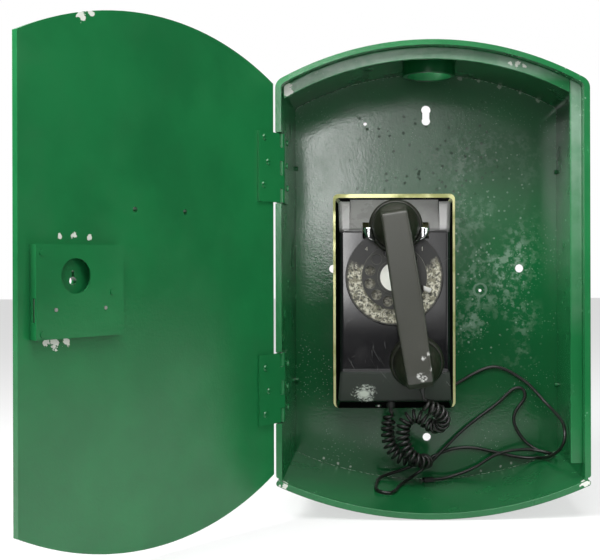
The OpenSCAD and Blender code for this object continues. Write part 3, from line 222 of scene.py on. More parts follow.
class Finish:
    """A material with a Principled BSDF, and short ways to add and join nodes."""

    def __init__(self, name, color, roughness=0.5, metallic=0.0, **sockets):
        self.material = bpy.data.materials.new(name)
        self.material.use_nodes = True
        self.tree = self.material.node_tree
        self.shader = self.tree.nodes["Principled BSDF"]
        self.set("Base Color", (*color, 1))
        self.set("Roughness", roughness)
        self.set("Metallic", metallic)
        for key, value in sockets.items():
            self.set(key.replace("_", " "), value)
        self.place = self.add("ShaderNodeTexCoord").outputs["Object"]

    def set(self, socket, value):
        self.shader.inputs[socket].default_value = value

    def add(self, kind, **settings):
        made = self.tree.nodes.new(kind)
        for key, value in settings.items():
            setattr(made, key, value)
        return made

    def join(self, source, target):
        self.tree.links.new(source, target)

    def feed(self, value, socket):
        """Joins a socket's output, or sets a plain value."""
        if isinstance(value, bpy.types.NodeSocket):
            self.join(value, socket)
        else:
            socket.default_value = (*value, 1) if isinstance(value, tuple) and len(value) == 3 else value

    def effect(self, group, **values):
        """Puts an effect's node group on the piece's own coordinates and returns what it puts out."""
        made = self.add("ShaderNodeGroup")
        made.node_tree = group
        self.join(self.place, made.inputs["Place"])
        for key, value in values.items():
            self.feed(value, made.inputs[key])
        return made.outputs[0]

    def mix(self, mask, first, second):
        """A colour that goes from the first to the second where the mask is 1."""
        made = self.add("ShaderNodeMix", data_type="RGBA")
        self.feed(mask, made.inputs[0])
        self.feed(first, made.inputs[6])
        self.feed(second, made.inputs[7])
        return made.outputs[2]

    def math(self, operation, a, b, clamp=False):
        made = self.add("ShaderNodeMath", operation=operation, use_clamp=clamp)
        self.feed(a, made.inputs[0])
        self.feed(b, made.inputs[1])
        return made.outputs[0]

    def times(self, *masks):
        result = masks[0]
        for mask in masks[1:]:
            result = self.math("MULTIPLY", result, mask)
        return result

    def either(self, *masks):
        result = masks[0]
        for mask in masks[1:]:
            result = self.math("MAXIMUM", result, mask)
        return result

    def ramp(self, value, low, high, start=0.0, end=1.0):
        made = self.add("ShaderNodeMapRange", clamp=True)
        for socket, number in zip(made.inputs, (value, low, high, start, end)):
            self.feed(number, socket)
        return made.outputs[0]

    def along(self, axis):
        """The place along one axis, in metres."""
        split = self.add("ShaderNodeSeparateXYZ")
        self.join(self.place, split.inputs[0])
        return split.outputs[axis]

    def window(self, axis, low, high, soft):
        """A mask that is 1 between two places on an axis, in millimetres."""
        here = self.along(axis)
        rise = self.ramp(here, (low - soft) * MM, low * MM)
        return self.times(rise, self.ramp(here, high * MM, (high + soft) * MM, 1.0, 0.0))

    def marks(self, places, ragged=1.3, soft=0.8):
        """Ragged round marks, each written as X, Y, Z and radius in millimetres."""
        found = [self.effect(mark, Centre=Vector(p[:3]) * MM, Radius=p[3] * MM, Ragged=p[3] * ragged * MM,
                             Soft=soft * MM) for p in places]
        return self.either(*found)

    def paint(self, color, roughness=None, normal=None):
        """Joins what is given to the shader and returns the material."""
        for source, socket in ((color, "Base Color"), (roughness, "Roughness"), (normal, "Normal")):
            if source is not None:
                self.join(source, self.shader.inputs[socket])
        return self.material


SOCKETS = {float: "NodeSocketFloat", int: "NodeSocketFloat", tuple: "NodeSocketVector"}


class Effect:
    """A node group with a Place input, named inputs and one output."""

    def __init__(self, name, output, **inputs):
        self.group = bpy.data.node_groups.new(name, "ShaderNodeTree")
        face = self.group.interface
        face.new_socket("Place", in_out="INPUT", socket_type="NodeSocketVector")
        for key, value in inputs.items():
            face.new_socket(key, in_out="INPUT", socket_type=SOCKETS[type(value)]).default_value = value
        kind = "NodeSocketVector" if output == "Normal" else "NodeSocketFloat"
        face.new_socket(output, in_out="OUTPUT", socket_type=kind)
        self.given = self.group.nodes.new("NodeGroupInput").outputs
        self.put = self.group.nodes.new("NodeGroupOutput").inputs[0]

    def add(self, kind, feeds=(), **settings):
        made = self.group.nodes.new(kind)
        for key, value in settings.items():
            setattr(made, key, value)
        for key, value in dict(feeds).items():
            if isinstance(value, bpy.types.NodeSocket):
                self.group.links.new(value, made.inputs[key])
            else:
                made.inputs[key].default_value = value
        return made

    def noise(self, scale, detail, place=None):
        feeds = {"Vector": place or self.given["Place"], "Scale": scale, "Detail": detail, "Roughness": 0.55}
        return self.add("ShaderNodeTexNoise", feeds).outputs[0]

    def range(self, value, low, high):
        made = self.add("ShaderNodeMapRange", {0: value, 1: low, 2: high}, interpolation_type="SMOOTHSTEP")
        return made.outputs[0]

    def math(self, operation, a, b):
        return self.add("ShaderNodeMath", {0: a, 1: b}, operation=operation).outputs[0]

    def done(self, result):
        self.group.links.new(result, self.put)
        return self.group


# Blotches: soft-edged areas where a noise is above a level
work = Effect("blotches", "Mask", Scale=20.0, Level=0.5, Softness=0.1)
top = work.math("ADD", work.given["Level"], work.given["Softness"])
blotches = work.done(work.range(work.noise(work.given["Scale"], 5.0), work.given["Level"], top))

# Specks: small round spots, kept where a broad noise allows them
work = Effect("specks", "Mask", Scale=300.0, Size=0.25, Area=15.0, Level=0.5)
cells = work.add("ShaderNodeTexVoronoi", {"Vector": work.given["Place"], "Scale": work.given["Scale"]})
uneven = work.math("MULTIPLY", work.noise(900.0, 2.0), 0.25)
reach = work.math("ADD", cells.outputs["Distance"], uneven)
outer = work.math("ADD", work.given["Size"], 0.2)
spot = work.range(reach, outer, work.math("ADD", work.given["Size"], 0.1))
area = work.range(work.noise(work.given["Area"], 3.0), work.given["Level"],
                  work.math("ADD", work.given["Level"], 0.12))
specks = work.done(work.math("MULTIPLY", spot, area))

# One mark: a round spot with a ragged edge
work = Effect("mark", "Mask", Centre=(0.0, 0.0, 0.0), Radius=0.005, Ragged=0.003, Soft=0.001)
ends = {0: work.given["Place"], 1: work.given["Centre"]}
away = work.add("ShaderNodeVectorMath", ends, operation="DISTANCE")
torn = work.math("MULTIPLY", work.math("SUBTRACT", work.noise(260.0, 5.0), 0.5), work.given["Ragged"])
reach = work.math("ADD", away.outputs["Value"], work.math("MULTIPLY", torn, 3.0))
outer = work.math("ADD", work.given["Radius"], work.given["Soft"])
mark = work.done(work.range(reach, outer, work.given["Radius"]))

# Brushed enamel: low ripples and fine pits as a bump
work = Effect("enamel_ripple", "Normal", Scale=350.0, Strength=0.2, Depth=0.0003)
height = work.math("ADD", work.noise(work.given["Scale"], 2.0),
                   work.noise(work.math("MULTIPLY", work.given["Scale"], 0.2), 2.0))
bump = work.add("ShaderNodeBump", {"Height": height, "Strength": work.given["Strength"],
                                   "Distance": work.given["Depth"]})
ripple = work.done(bump.outputs[0])

# Scuffs: fine crossing scratches, kept where a broad noise allows them
work = Effect("scuffs", "Mask", Scale=60.0, Length=12.0, Area=12.0, Level=0.5)
scratches = []
for angle in (0.5, 2.1, 3.8):
    feeds = {"Vector": work.given["Place"], "Rotation": (0.3 * angle, angle, 0.2)}
    rotated = work.add("ShaderNodeMapping", feeds)
    stretch = work.add("ShaderNodeCombineXYZ", {0: work.given["Length"], 1: 1.0, 2: 0.1})
    feeds = {0: rotated.outputs[0], 1: stretch.outputs[0]}
    stretched = work.add("ShaderNodeVectorMath", feeds, operation="MULTIPLY")
    scratches.append(work.range(work.noise(work.given["Scale"], 3.0, stretched.outputs[0]), 0.64, 0.7))
lines = work.math("MAXIMUM", work.math("MAXIMUM", scratches[0], scratches[1]), scratches[2])
allowed = work.range(work.noise(work.given["Area"], 3.0), work.given["Level"],
                     work.math("ADD", work.given["Level"], 0.15))
scuffs = work.done(work.math("MULTIPLY", lines, allowed))

# Colours that several finishes share
GREEN = (0.0085, 0.128, 0.037)
DEEP_GREEN = (0.0065, 0.1, 0.029)
# SHADED_GREEN is painted shade, for the back plate's lower part
SHADED_GREEN = (0.007, 0.082, 0.025)
DARK_SPOT = (0.003, 0.05, 0.015)
BLACK = (0.006, 0.006, 0.007)
PLATE_BLACK = (0.014, 0.014, 0.013)
# The pale colour serves dust specks, and painted light on the stops and on the back plate's top
PALE_DUST_AND_PAINTED_LIGHT = (0.3, 0.4, 0.33)
BARE_METAL = (0.55, 0.57, 0.52)


def green_enamel(name, roughness=0.2, dust=0.66, specks_scale=190.0, chips=0.68, ripples=0.25, chipped=(),
                 seams=None, haze=None):
    """Brushed green enamel with tone changes, pale dust specks, chips, the marks given, and painted light
    where a haze is given.
    """
    made = Finish(name, GREEN, roughness, Specular_IOR_Level=0.5)
    tone = made.effect(blotches, Scale=9.0, Level=0.35, Softness=0.35)
    green = made.mix(tone, DEEP_GREEN, GREEN)
    pale = made.effect(specks, Scale=specks_scale, Size=0.12, Area=11.0, Level=dust)
    green = made.mix(made.times(pale, 0.5), green, PALE_DUST_AND_PAINTED_LIGHT)
    # A given haze is painted light: the paint is made paler where light falls on it
    if haze:
        green = made.mix(haze(made), green, PALE_DUST_AND_PAINTED_LIGHT)
    bare = made.effect(specks, Scale=60.0, Size=0.02, Area=30.0, Level=chips)
    if chipped:
        bare = made.either(bare, made.marks(chipped))
    if seams:
        line = made.effect(blotches, Scale=420.0, Level=0.5, Softness=0.08)
        bare = made.either(bare, made.times(seams(made), line, 0.85))
    green = made.mix(bare, green, BARE_METAL)
    worn = made.effect(blotches, Scale=25.0, Level=0.4, Softness=0.3)
    rough = made.ramp(worn, 0, 1, roughness * 0.9, roughness * 1.3)
    rough = made.math("ADD", rough, made.times(made.either(pale, bare), 0.35), True)
    return made.paint(green, rough, made.effect(ripple, Scale=420.0, Strength=ripples, Depth=0.0004))


def back_plate_enamel():
    """The back plate's glossy enamel, painted darker towards the bottom as painted shade and paler towards
    the top as painted light, with dark spots, pale spots down the right, a ring round a hole.
    """
    made = Finish("back_plate_enamel", GREEN, 0.2, Specular_IOR_Level=0.5)
    tone = made.effect(blotches, Scale=7.0, Level=0.3, Softness=0.4)
    green = made.mix(tone, DEEP_GREEN, GREEN)
    # Painted shade towards the bottom, and painted light towards the top
    green = made.mix(made.ramp(made.along(2), 0.02, -0.08), green, SHADED_GREEN)
    green = made.mix(made.times(made.ramp(made.along(2), 0.04, 0.12), 0.16), green, PALE_DUST_AND_PAINTED_LIGHT)
    right_side = made.times(made.window(0, 20, 110, 28), made.window(2, -75, 140, 38))
    spots = made.times(made.effect(specks, Scale=150.0, Size=0.16, Area=26.0, Level=0.4), right_side)
    area = made.effect(blotches, Scale=16.0, Level=0.4, Softness=0.25)
    haze = made.times(made.effect(blotches, Scale=150.0, Level=0.44, Softness=0.2), area, right_side, 0.42)
    fine = made.times(made.effect(specks, Scale=330.0, Size=0.14, Area=14.0, Level=0.48), 0.5)
    pale = made.either(made.times(spots, 0.5), haze, fine)
    upper = made.times(made.window(0, -70, 70, 25), made.window(2, 80, 185, 25))
    dark = made.times(made.effect(specks, Scale=120.0, Size=0.2, Area=20.0, Level=0.42), upper)
    left_dots = made.times(made.effect(specks, Scale=210.0, Size=0.1, Area=22.0, Level=0.5),
                           made.window(0, -150, -60, 10))
    whole, core = [made.marks([(62.7, -4, -14.8, radius)], 0.15) for radius in (8, 5.5)]
    ring = made.math("SUBTRACT", whole, core)
    bare = made.marks([(-120, -4, -211, 1), (-104, -4, -217, 1.2), (-89, -4, -221, 0.9), (63, -4, -226, 1),
                       (86, -4, -221, 1), (98, -4, -217, 1.1), (40, -4, 231, 2), (62, -4, 229, 1.6),
                       (86, -4, 222, 2), (110, -4, 214, 1.6), (130, -4, 206, 2)])
    green = made.mix(made.either(dark, left_dots), green, DARK_SPOT)
    green = made.mix(made.either(pale, made.times(ring, 0.4)), green, PALE_DUST_AND_PAINTED_LIGHT)
    green = made.mix(made.times(bare, 0.55), green, BARE_METAL)
    rough = made.ramp(made.effect(blotches, Scale=18.0, Level=0.4, Softness=0.3), 0, 1, 0.12, 0.19)
    rough = made.math("ADD", rough, made.times(made.either(pale, dark), 0.3), True)
    return made.paint(green, rough, made.effect(ripple, Scale=420.0, Strength=0.22, Depth=0.0004))


def plain_metal(name, color, roughness, stain, ripples=0.1):
    """Metal with duller, stained areas."""
    made = Finish(name, color, roughness, 1.0)
    dull = made.effect(blotches, Scale=60.0, Level=0.45, Softness=0.2)
    rough = made.ramp(dull, 0, 1, roughness, min(1, roughness + 0.2))
    return made.paint(made.mix(dull, color, stain), rough,
                      made.effect(ripple, Scale=900.0, Strength=ripples, Depth=0.0001))


def moulded(name, color, worn, roughness, wear=0.5, level=0.5, sheen_level=0.5, marks=()):
    """Moulded plastic or rubber with fine scratches, haze and pale marks at the places given; on the handset
    these marks are a painted highlight with chalky specks.
    """
    made = Finish(name, color, roughness, 0.0, Specular_IOR_Level=sheen_level)
    scratch = made.effect(scuffs, Scale=55.0, Length=9.0, Area=14.0, Level=level)
    haze = made.effect(blotches, Scale=22.0, Level=0.42, Softness=0.3)
    share = made.math("ADD", made.times(scratch, wear), made.times(haze, wear * 0.35), True)
    shade = made.mix(share, color, worn)
    rough = made.ramp(haze, 0, 1, roughness, roughness + 0.1)
    rough = made.math("ADD", rough, made.times(scratch, 0.25), True)
    if marks:
        broken = made.effect(blotches, Scale=330.0, Level=0.4, Softness=0.2)
        # The given marks are painted pale: a painted highlight with chalky flecks
        chalk_and_highlight = made.times(made.marks(marks, 1.1, 2.5), broken)
        shade = made.mix(chalk_and_highlight, shade, (0.5, 0.5, 0.48))
        rough = made.math("ADD", rough, made.times(chalk_and_highlight, 0.5), True)
    return made.paint(shade, rough, made.effect(ripple, Scale=700.0, Strength=0.05, Depth=0.0002))


def housing_plastic():
    """Polished black plastic, with painted reflection in the hollow behind the ear cap and on the chin band,
    and a painted highlight on the chin.
    """
    made = Finish("black_housing_plastic", BLACK, 0.2, 0.0, Specular_IOR_Level=0.5)
    scratch = made.effect(scuffs, Scale=55.0, Length=9.0, Area=14.0, Level=0.5)
    haze = made.effect(blotches, Scale=22.0, Level=0.42, Softness=0.3)
    share = made.math("ADD", made.times(scratch, 0.3), made.times(haze, 0.06), True)
    shade = made.mix(share, BLACK, (0.09, 0.09, 0.085))
    # Painted reflection: the hollow behind the ear cap is painted pale grey, more so to the left, and the
    # chin band a little
    painted_reflection = made.times(made.window(2, 56, 134, 6), made.ramp(made.along(1), -0.066, -0.06))
    patchy = made.ramp(made.effect(blotches, Scale=60.0, Level=0.3, Softness=0.4), 0, 1, 0.85, 1.0)
    painted_reflection = made.times(painted_reflection, patchy, made.ramp(made.along(0), -0.08, 0.0, 0.45, 0.25))
    chin_painted_reflection = made.times(made.window(2, -138, -106, 4), made.ramp(made.along(1), -0.036, -0.04), 0.11)
    painted_reflection = made.either(painted_reflection, chin_painted_reflection)
    # A painted highlight: the glare on the chin is painted as a pale splash, with chalky flecks at its edge
    painted_glare = [(-71.7, -48, -129, 8), (-68, -50, -123, 5), (-70, -44, -135, 6)]
    broken = made.effect(blotches, Scale=330.0, Level=0.38, Softness=0.2)
    flecks = made.times(made.marks(painted_glare, 1.2, 5), broken, 0.8)
    chalk_and_highlight = made.either(flecks, made.marks([(-72, -47, -130, 3.5)], 0.5, 5))
    shade = made.mix(painted_reflection, shade, (0.7, 0.7, 0.67))
    shade = made.mix(chalk_and_highlight, shade, (0.95, 0.95, 0.9))
    dull = made.times(made.either(scratch, painted_reflection, chalk_and_highlight), 0.4)
    rough = made.math("ADD", made.ramp(haze, 0, 1, 0.1, 0.16), dull, True)
    return made.paint(shade, rough, made.effect(ripple, Scale=700.0, Strength=0.04, Depth=0.0002))


def number_plate_paint():
    """Black enamel that has gone to flaking cream except at the top of the plate; the cream is painted darker
    under the finger wheel as painted shade.
    """
    made = Finish("number_plate_paint", PLATE_BLACK, 0.45, 0.0, Specular_IOR_Level=0.5)
    middle = made.add("ShaderNodeVectorMath", operation="SUBTRACT")
    made.join(made.place, middle.inputs[0])
    middle.inputs[1].default_value = (DIAL_X * MM, 0, DIAL_Z * MM)
    flat = made.add("ShaderNodeVectorMath", operation="MULTIPLY")
    made.join(middle.outputs[0], flat.inputs[0])
    flat.inputs[1].default_value = (1, 0, 1)
    unit = made.add("ShaderNodeVectorMath", operation="NORMALIZE")
    made.join(flat.outputs[0], unit.inputs[0])
    toward = made.add("ShaderNodeVectorMath", operation="DOT_PRODUCT")
    made.join(unit.outputs[0], toward.inputs[0])
    down = math.radians(-92)
    toward.inputs[1].default_value = (math.cos(down), 0, math.sin(down))
    uneven = made.effect(blotches, Scale=40.0, Level=0.3, Softness=0.4)
    lower = made.ramp(made.math("ADD", toward.outputs["Value"], made.times(uneven, 0.3)), -0.25, 0.0)
    flakes = made.ramp(made.effect(blotches, Scale=430.0, Level=0.4, Softness=0.12), 0, 1, 0.2, 1.0)
    stained = made.effect(blotches, Scale=240.0, Level=0.42, Softness=0.2)
    cream = made.mix(stained, (0.22, 0.21, 0.15), (0.62, 0.6, 0.49))
    from_middle = made.add("ShaderNodeVectorMath", operation="LENGTH")
    made.join(flat.outputs[0], from_middle.inputs[0])
    away = from_middle.outputs["Value"]
    # Painted shade: less cream shows under the finger wheel
    wheel_painted_shade = made.ramp(away, 0.0345, 0.0365, 0.6, 1.0)
    shown = made.times(wheel_painted_shade, made.ramp(away, 0.051, 0.0522, 1.0, 0.1))
    sparse = made.times(made.effect(specks, Scale=260.0, Size=0.14, Area=40.0, Level=0.5), 0.5)
    share = made.times(made.either(made.times(lower, flakes), sparse), shown)
    shade = made.mix(share, PLATE_BLACK, cream)
    return made.paint(shade, made.ramp(share, 0, 1, 0.35, 0.7),
                      made.effect(ripple, Scale=900.0, Strength=0.3, Depth=0.0002))


def case_seams(made):
    """The lines where the wall meets the back plate, at the top right and along the floor."""
    front = made.ramp(made.along(1), -0.0075, -0.0058)
    back = made.ramp(made.along(1), -0.004, -0.0035, 1.0, 0.0)
    ends = made.either(made.window(2, 185, 260, 5), made.window(2, -240, -205, 3))
    return made.times(made.times(front, back), ends)


def stop_painted_light(made):
    """Painted light on the stops: the side stop is painted paler higher up and the top stop on its front, in
    uneven patches.
    """
    patchy_light = made.ramp(made.effect(blotches, Scale=55.0, Level=0.3, Softness=0.4), 0, 1, 0.6, 1.0)
    share = made.ramp(made.along(2), 0.0, 0.17, 0.1, 0.55)
    side = made.times(patchy_light, share, made.window(0, 142, 170, 2), made.window(2, -30, 195, 30))
    front = made.times(made.ramp(made.along(2), 0.2, 0.214), made.ramp(made.along(1), -0.1535, -0.1548))
    return made.either(side, made.times(patchy_light, front, 0.5))


paint = green_enamel("green_enamel")
wall_paint = green_enamel("case_wall_enamel", 0.22, 0.6, seams=case_seams)
door_paint = green_enamel("door_enamel", 0.2, 0.78, chips=0.76, ripples=0.18, chipped=[
    (-294.7, -358, 219, 4), (-289, -350, 222, 2.5), (-309.7, -379, -47, 3.5), (-304, -371, -46, 3),
    (-315, -386, -46, 2.5), (-307, -375, 38, 1.5), (-299, -364, 39, 2), (-290, -352, 38, 1.6)])
stop_paint = green_enamel("stop_enamel", 0.22, 0.62, chips=0.6, haze=stop_painted_light, chipped=[
    (85.8, -155.6, 217.5, 2.6), (80, -156, 219, 2), (93, -156, 216, 1.8), (-146.7, -156, 192, 4.5),
    (-146, -156, 197, 3)])
floor_paint = green_enamel("floor_enamel", 0.22, 0.55, chips=0.64, seams=case_seams, chipped=[
    (-152.4, -168, -212, 5), (152.4, -168, -205, 5), (-150, -166, -206, 3)])
edge_paint = green_enamel("worn_edge_enamel", 0.3, 0.42, 260.0, 0.5, 0.35)
back_paint = back_plate_enamel()
steel = plain_metal("zinc_plated_steel", (0.55, 0.55, 0.52), 0.3, (0.35, 0.35, 0.33))
chrome = plain_metal("chrome_plate", (0.78, 0.79, 0.8), 0.08, (0.6, 0.6, 0.6), 0.02)
yellow_zinc = plain_metal("yellow_passivated_zinc", (0.66, 0.66, 0.34), 0.35, (0.5, 0.52, 0.22))
brass = plain_metal("machined_brass", (0.62, 0.44, 0.17), 0.3, (0.4, 0.28, 0.1))
copper = plain_metal("enamelled_winding", (0.42, 0.15, 0.06), 0.35, (0.3, 0.1, 0.04), 0.4)
bell = plain_metal("bell_plating", (0.55, 0.5, 0.38), 0.22, (0.4, 0.35, 0.25))
black = housing_plastic()
black_side = moulded("housing_side_plastic", (0.006, 0.006, 0.006), (0.02, 0.02, 0.02), 0.8, 0.3,
                     sheen_level=0.0)
# The pale marks at the handle's lower end are a painted highlight, with chalky specks above it
grey = moulded("worn_handset_plastic", (0.032, 0.033, 0.026), (0.06, 0.06, 0.048), 0.34, 0.4, 0.5, marks=[
    (-8.5, -120, -104, 3.2), (-12, -121, -102, 1.6), (1, -122, -95, 1.1), (4, -122, -91, 1),
    (-8, -122, -84, 1), (-2, -122, -79, 0.9), (5, -122, -60, 0.8)])
rubber = moulded("black_rubber", (0.012, 0.012, 0.012), (0.05, 0.05, 0.05), 0.5, 0.4)
jacket = moulded("cord_jacket", (0.01, 0.0095, 0.009), (0.05, 0.046, 0.04), 0.34, 0.5, 0.45)
board = moulded("phenolic_board", (0.12, 0.065, 0.03), (0.2, 0.13, 0.08), 0.5, 0.3)
dark_enamel = moulded("dark_wheel_enamel", (0.022, 0.022, 0.02), (0.14, 0.14, 0.12), 0.36, 0.45)
pale_rim = moulded("worn_rim", (0.16, 0.16, 0.13), (0.3, 0.3, 0.25), 0.4, 0.5)
card = moulded("white_card", (0.95, 0.95, 0.88), (0.85, 0.84, 0.76), 0.7, 0.2)
number_paint = moulded("cream_numbers", (0.62, 0.6, 0.5), (0.3, 0.3, 0.24), 0.5, 0.6, 0.5)
dull_zinc = plain_metal("dull_zinc", (0.1, 0.1, 0.085), 0.5, (0.05, 0.05, 0.04))
plate_paint = number_plate_paint()
# The hub is painted darker inside the case, below the wall's top: painted shade
hub = Finish("hub_enamel", DEEP_GREEN, 0.3, Specular_IOR_Level=0.4)
hub_out_of_painted_shade = hub.ramp(hub.along(2), 0.205, 0.235)
hub_paint = hub.paint(hub.mix(hub_out_of_painted_shade, (0.003, 0.045, 0.013), DEEP_GREEN))
# The cups and their caps are painted darker than the handle: painted shade on one plastic
cup_painted_shade = moulded("dark_cup_plastic", (0.013, 0.014, 0.009), (0.04, 0.04, 0.032), 0.36, 0.4, 0.5,
                   sheen_level=0.28)
# The finger stop's inner part is painted dark as painted shade; only its outer end shows bright steel
tab = Finish("finger_stop_steel", (0.5, 0.5, 0.5), 0.3, 1.0)
stop_out_of_painted_shade = tab.ramp(tab.along(0), -0.0062, -0.005)
stop_steel = tab.paint(tab.mix(stop_out_of_painted_shade, (0.04, 0.04, 0.035), (0.66, 0.66, 0.62)))

# The finish of each material slot, and the finish of some nodes of their own
FINISHES = {
    "green_paint": paint, "yellow_zinc": yellow_zinc, "bright_steel": steel, "chrome": chrome,
    "black_plastic": black, "grey_plastic": grey, "worn_enamel": plate_paint, "dark_enamel": dark_enamel,
    "white_card": card, "brown_laminate": board, "brass": brass, "copper_wire": copper, "bell_metal": bell,
    "cord_jacket": jacket, "black_rubber": rubber,
}
OWN_FINISH = {
    "door_plate": door_paint, "lock_case": door_paint, "back_plate": back_paint, "case_wall": wall_paint,
    "bottom_plate": floor_paint, "top_stop": stop_paint, "side_stop": stop_paint, "hook_bracket": dull_zinc,
    "conduit_hub": hub_paint, "ear_cap": cup_painted_shade, "mouth_cap": cup_painted_shade, "finger_stop": stop_steel,
}
slot_of = {part["node"]: part["material_slot"] for part in frame["record"]["subparts"]}
body_of = {n: body for body, members in frame["record"]["behaviour"]["bodies"].items() for n in members}


def coat(piece, *materials):
    """Gives a piece its materials; an empty list isn't cleared, as that would reset its faces' choices."""
    if len(piece.data.materials):
        piece.data.materials.clear()
    for material in materials:
        piece.data.materials.append(material)


for name, piece in nodes.items():
    coat(piece, OWN_FINISH.get(name, FINISHES[slot_of[name]]))
coat(line_cord, jacket)
coat(handset_cord, jacket)


def drawn_across(view, left, right):
    """A solid of one outline, written as depth and height, from left to right."""
    form = bmesh.new()
    face = form.faces.new([form.verts.new(Vector((left, -depth, z)) * MM) for depth, z in view])
    grown = bmesh.ops.extrude_face_region(form, geom=[face])
    moved = [v for v in grown["geom"] if isinstance(v, bmesh.types.BMVert)]
    bmesh.ops.translate(form, vec=((right - left) * MM, 0, 0), verts=moved)
    bmesh.ops.recalc_face_normals(form, faces=form.faces)
    return form


def drawn_in(view, step):
    """The same outline with each side moved inwards by a step; a minus step moves it outwards."""
    found = []
    for i, here in enumerate(view):
        here, before, after = Vector(here), Vector(view[i - 1]), Vector(view[(i + 1) % len(view)])
        ways = [(here - before).normalized(), (after - here).normalized()]
        sides = [Vector((-way.y, way.x)) for way in ways]
        sides = [side if turn_of(view) > 0 else -side for side in sides]
        bend = (sides[0] + sides[1]).normalized()
        found.append(here + bend * step / max(0.2, bend.dot(sides[0])))
    return found


def turn_of(view):
    """More than 0 where the outline runs anticlockwise."""
    return sum(a[0] * b[1] - a[1] * b[0] for a, b in zip(view, view[1:] + view[:1]))


def rod(x, z, radius, near, far, sides=96):
    """A round bar along the depth."""
    form = bmesh.new()
    middle = Matrix.Translation(Vector((x, -(near + far) / 2, z)) * MM)
    bmesh.ops.create_cone(form, cap_ends=True, segments=sides, radius1=radius * MM, radius2=radius * MM,
                          depth=(far - near) * MM, matrix=middle @ Matrix.Rotation(math.radians(90), 4, "X"))
    return form


def post(x, depth, radius, low, high):
    """A round upright bar."""
    form = bmesh.new()
    bmesh.ops.create_cone(form, cap_ends=True, segments=48, radius1=radius * MM, radius2=radius * MM,
                          depth=(high - low) * MM,
                          matrix=Matrix.Translation(Vector((x, -depth, (low + high) / 2)) * MM))
    return form


def block(left, right, near, far, low, high):
    """A box between two places on each axis."""
    form = bmesh.new()
    middle = Vector(((left + right) / 2, -(near + far) / 2, (low + high) / 2)) * MM
    size = Vector((right - left, far - near, high - low)) * MM
    bmesh.ops.create_cube(form, size=1, matrix=Matrix.Translation(middle) @ Matrix.Diagonal((*size, 1)))
    return form


def turned(profile):
    """A solid turned about the depth axis from points written as radius and depth, its ends on the axis."""
    form = bmesh.new()
    line = [form.verts.new(Vector((radius, -depth, 0)) * MM) for radius, depth in profile]
    edges = [form.edges.new(pair) for pair in zip(line, line[1:])]
    bmesh.ops.spin(form, geom=line + edges, cent=(0, 0, 0), axis=(0, 1, 0), dvec=(0, 0, 0),
                   angle=math.radians(360), steps=96, use_merge=True, use_duplicate=False)
    bmesh.ops.remove_doubles(form, verts=form.verts, dist=1e-6)
    bmesh.ops.recalc_face_normals(form, faces=form.faces)
    return form


def eased_corners(form, width, segments, chosen):
    """Rounds the chosen edges and returns the new faces."""
    sharp = [e for e in form.edges if chosen(e)]
    made = bmesh.ops.bevel(form, geom=sharp, offset=width * MM, segments=segments, profile=0.5,
                           affect="EDGES", material=-1, clamp_overlap=True, offset_type="OFFSET")
    return made["faces"]


def loose(form):
    """The form as an object that is only worked with."""
    mesh = bpy.data.meshes.new("work")
    form.to_mesh(mesh)
    form.free()
    piece = bpy.data.objects.new("work", mesh)
    scene.collection.objects.link(piece)
    return piece


def finished(piece):
    """The loose object's form after its modifiers; the object is removed."""
    form = bmesh.new()
    bpy.context.view_layer.update()
    result = piece.evaluated_get(bpy.context.evaluated_depsgraph_get())
    form.from_mesh(result.to_mesh())
    result.to_mesh_clear()
    bpy.data.objects.remove(piece)
    return form


def joined(form, *steps):
    """The form after each step: an operation and the form that it works with."""
    base = loose(form)
    tools = []
    for operation, tool in steps:
        tools.append(loose(tool))
        work_step = base.modifiers.new("work", "BOOLEAN")
        work_step.operation = operation
        work_step.solver = "EXACT"
        work_step.object = tools[-1]
    result = finished(base)
    for tool in tools:
        bpy.data.objects.remove(tool)
    return result


def remoulded(form, voxel, rounds):
    """The form in one skin with softened edges, as moulded or bent things have."""
    base = loose(form)
    skin = base.modifiers.new("skin", "REMESH")
    skin.mode = "VOXEL"
    skin.voxel_size = voxel * MM
    result = finished(base)
    for _ in range(rounds):
        bmesh.ops.smooth_vert(result, verts=result.verts, factor=0.5, use_axis_x=True, use_axis_y=True,
                              use_axis_z=True)
    return result


def add_piece(name, form, materials, body, replaced=(), smooth=40, even=True):
    """Puts a form into the scene as a piece that rides on a body and stands for CAD nodes."""
    mesh = bpy.data.meshes.new(name)
    form.to_mesh(mesh)
    form.free()
    piece = bpy.data.objects.new(name, mesh)
    scene.collection.objects.link(piece)
    mesh.shade_smooth()
    mesh.set_sharp_from_angle(angle=math.radians(smooth))
    coat(piece, *materials)
    if even:
        weighted = piece.modifiers.new("even_faces", "WEIGHTED_NORMAL")
        weighted.keep_sharp = True
        weighted.weight = 80
    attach(piece, body)
    if replaced:
        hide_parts(*replaced)
    return piece


def merged_copy(node):
    """The node's own shape with its loose triangles joined and its flat faces made whole."""
    form = bmesh.new()
    form.from_mesh(nodes[node].data)
    bmesh.ops.remove_doubles(form, verts=form.verts, dist=1e-6)
    bmesh.ops.dissolve_limit(form, angle_limit=math.radians(0.6), verts=form.verts, edges=form.edges)
    return form


def eased(node, width, edge):
    """The node's own shape, its sharp edges rounded to a width in millimetres and in their own finish."""
    form = merged_copy(node)
    least = math.radians(35)
    for face in eased_corners(form, width, 2, lambda e: e.is_manifold and e.calc_face_angle() > least):
        face.material_index = 1 if edge else 0
    materials = [nodes[node].data.materials[0]] + ([edge] if edge else [])
    return add_piece(node + "_eased", form, materials, body_of[node], [node])


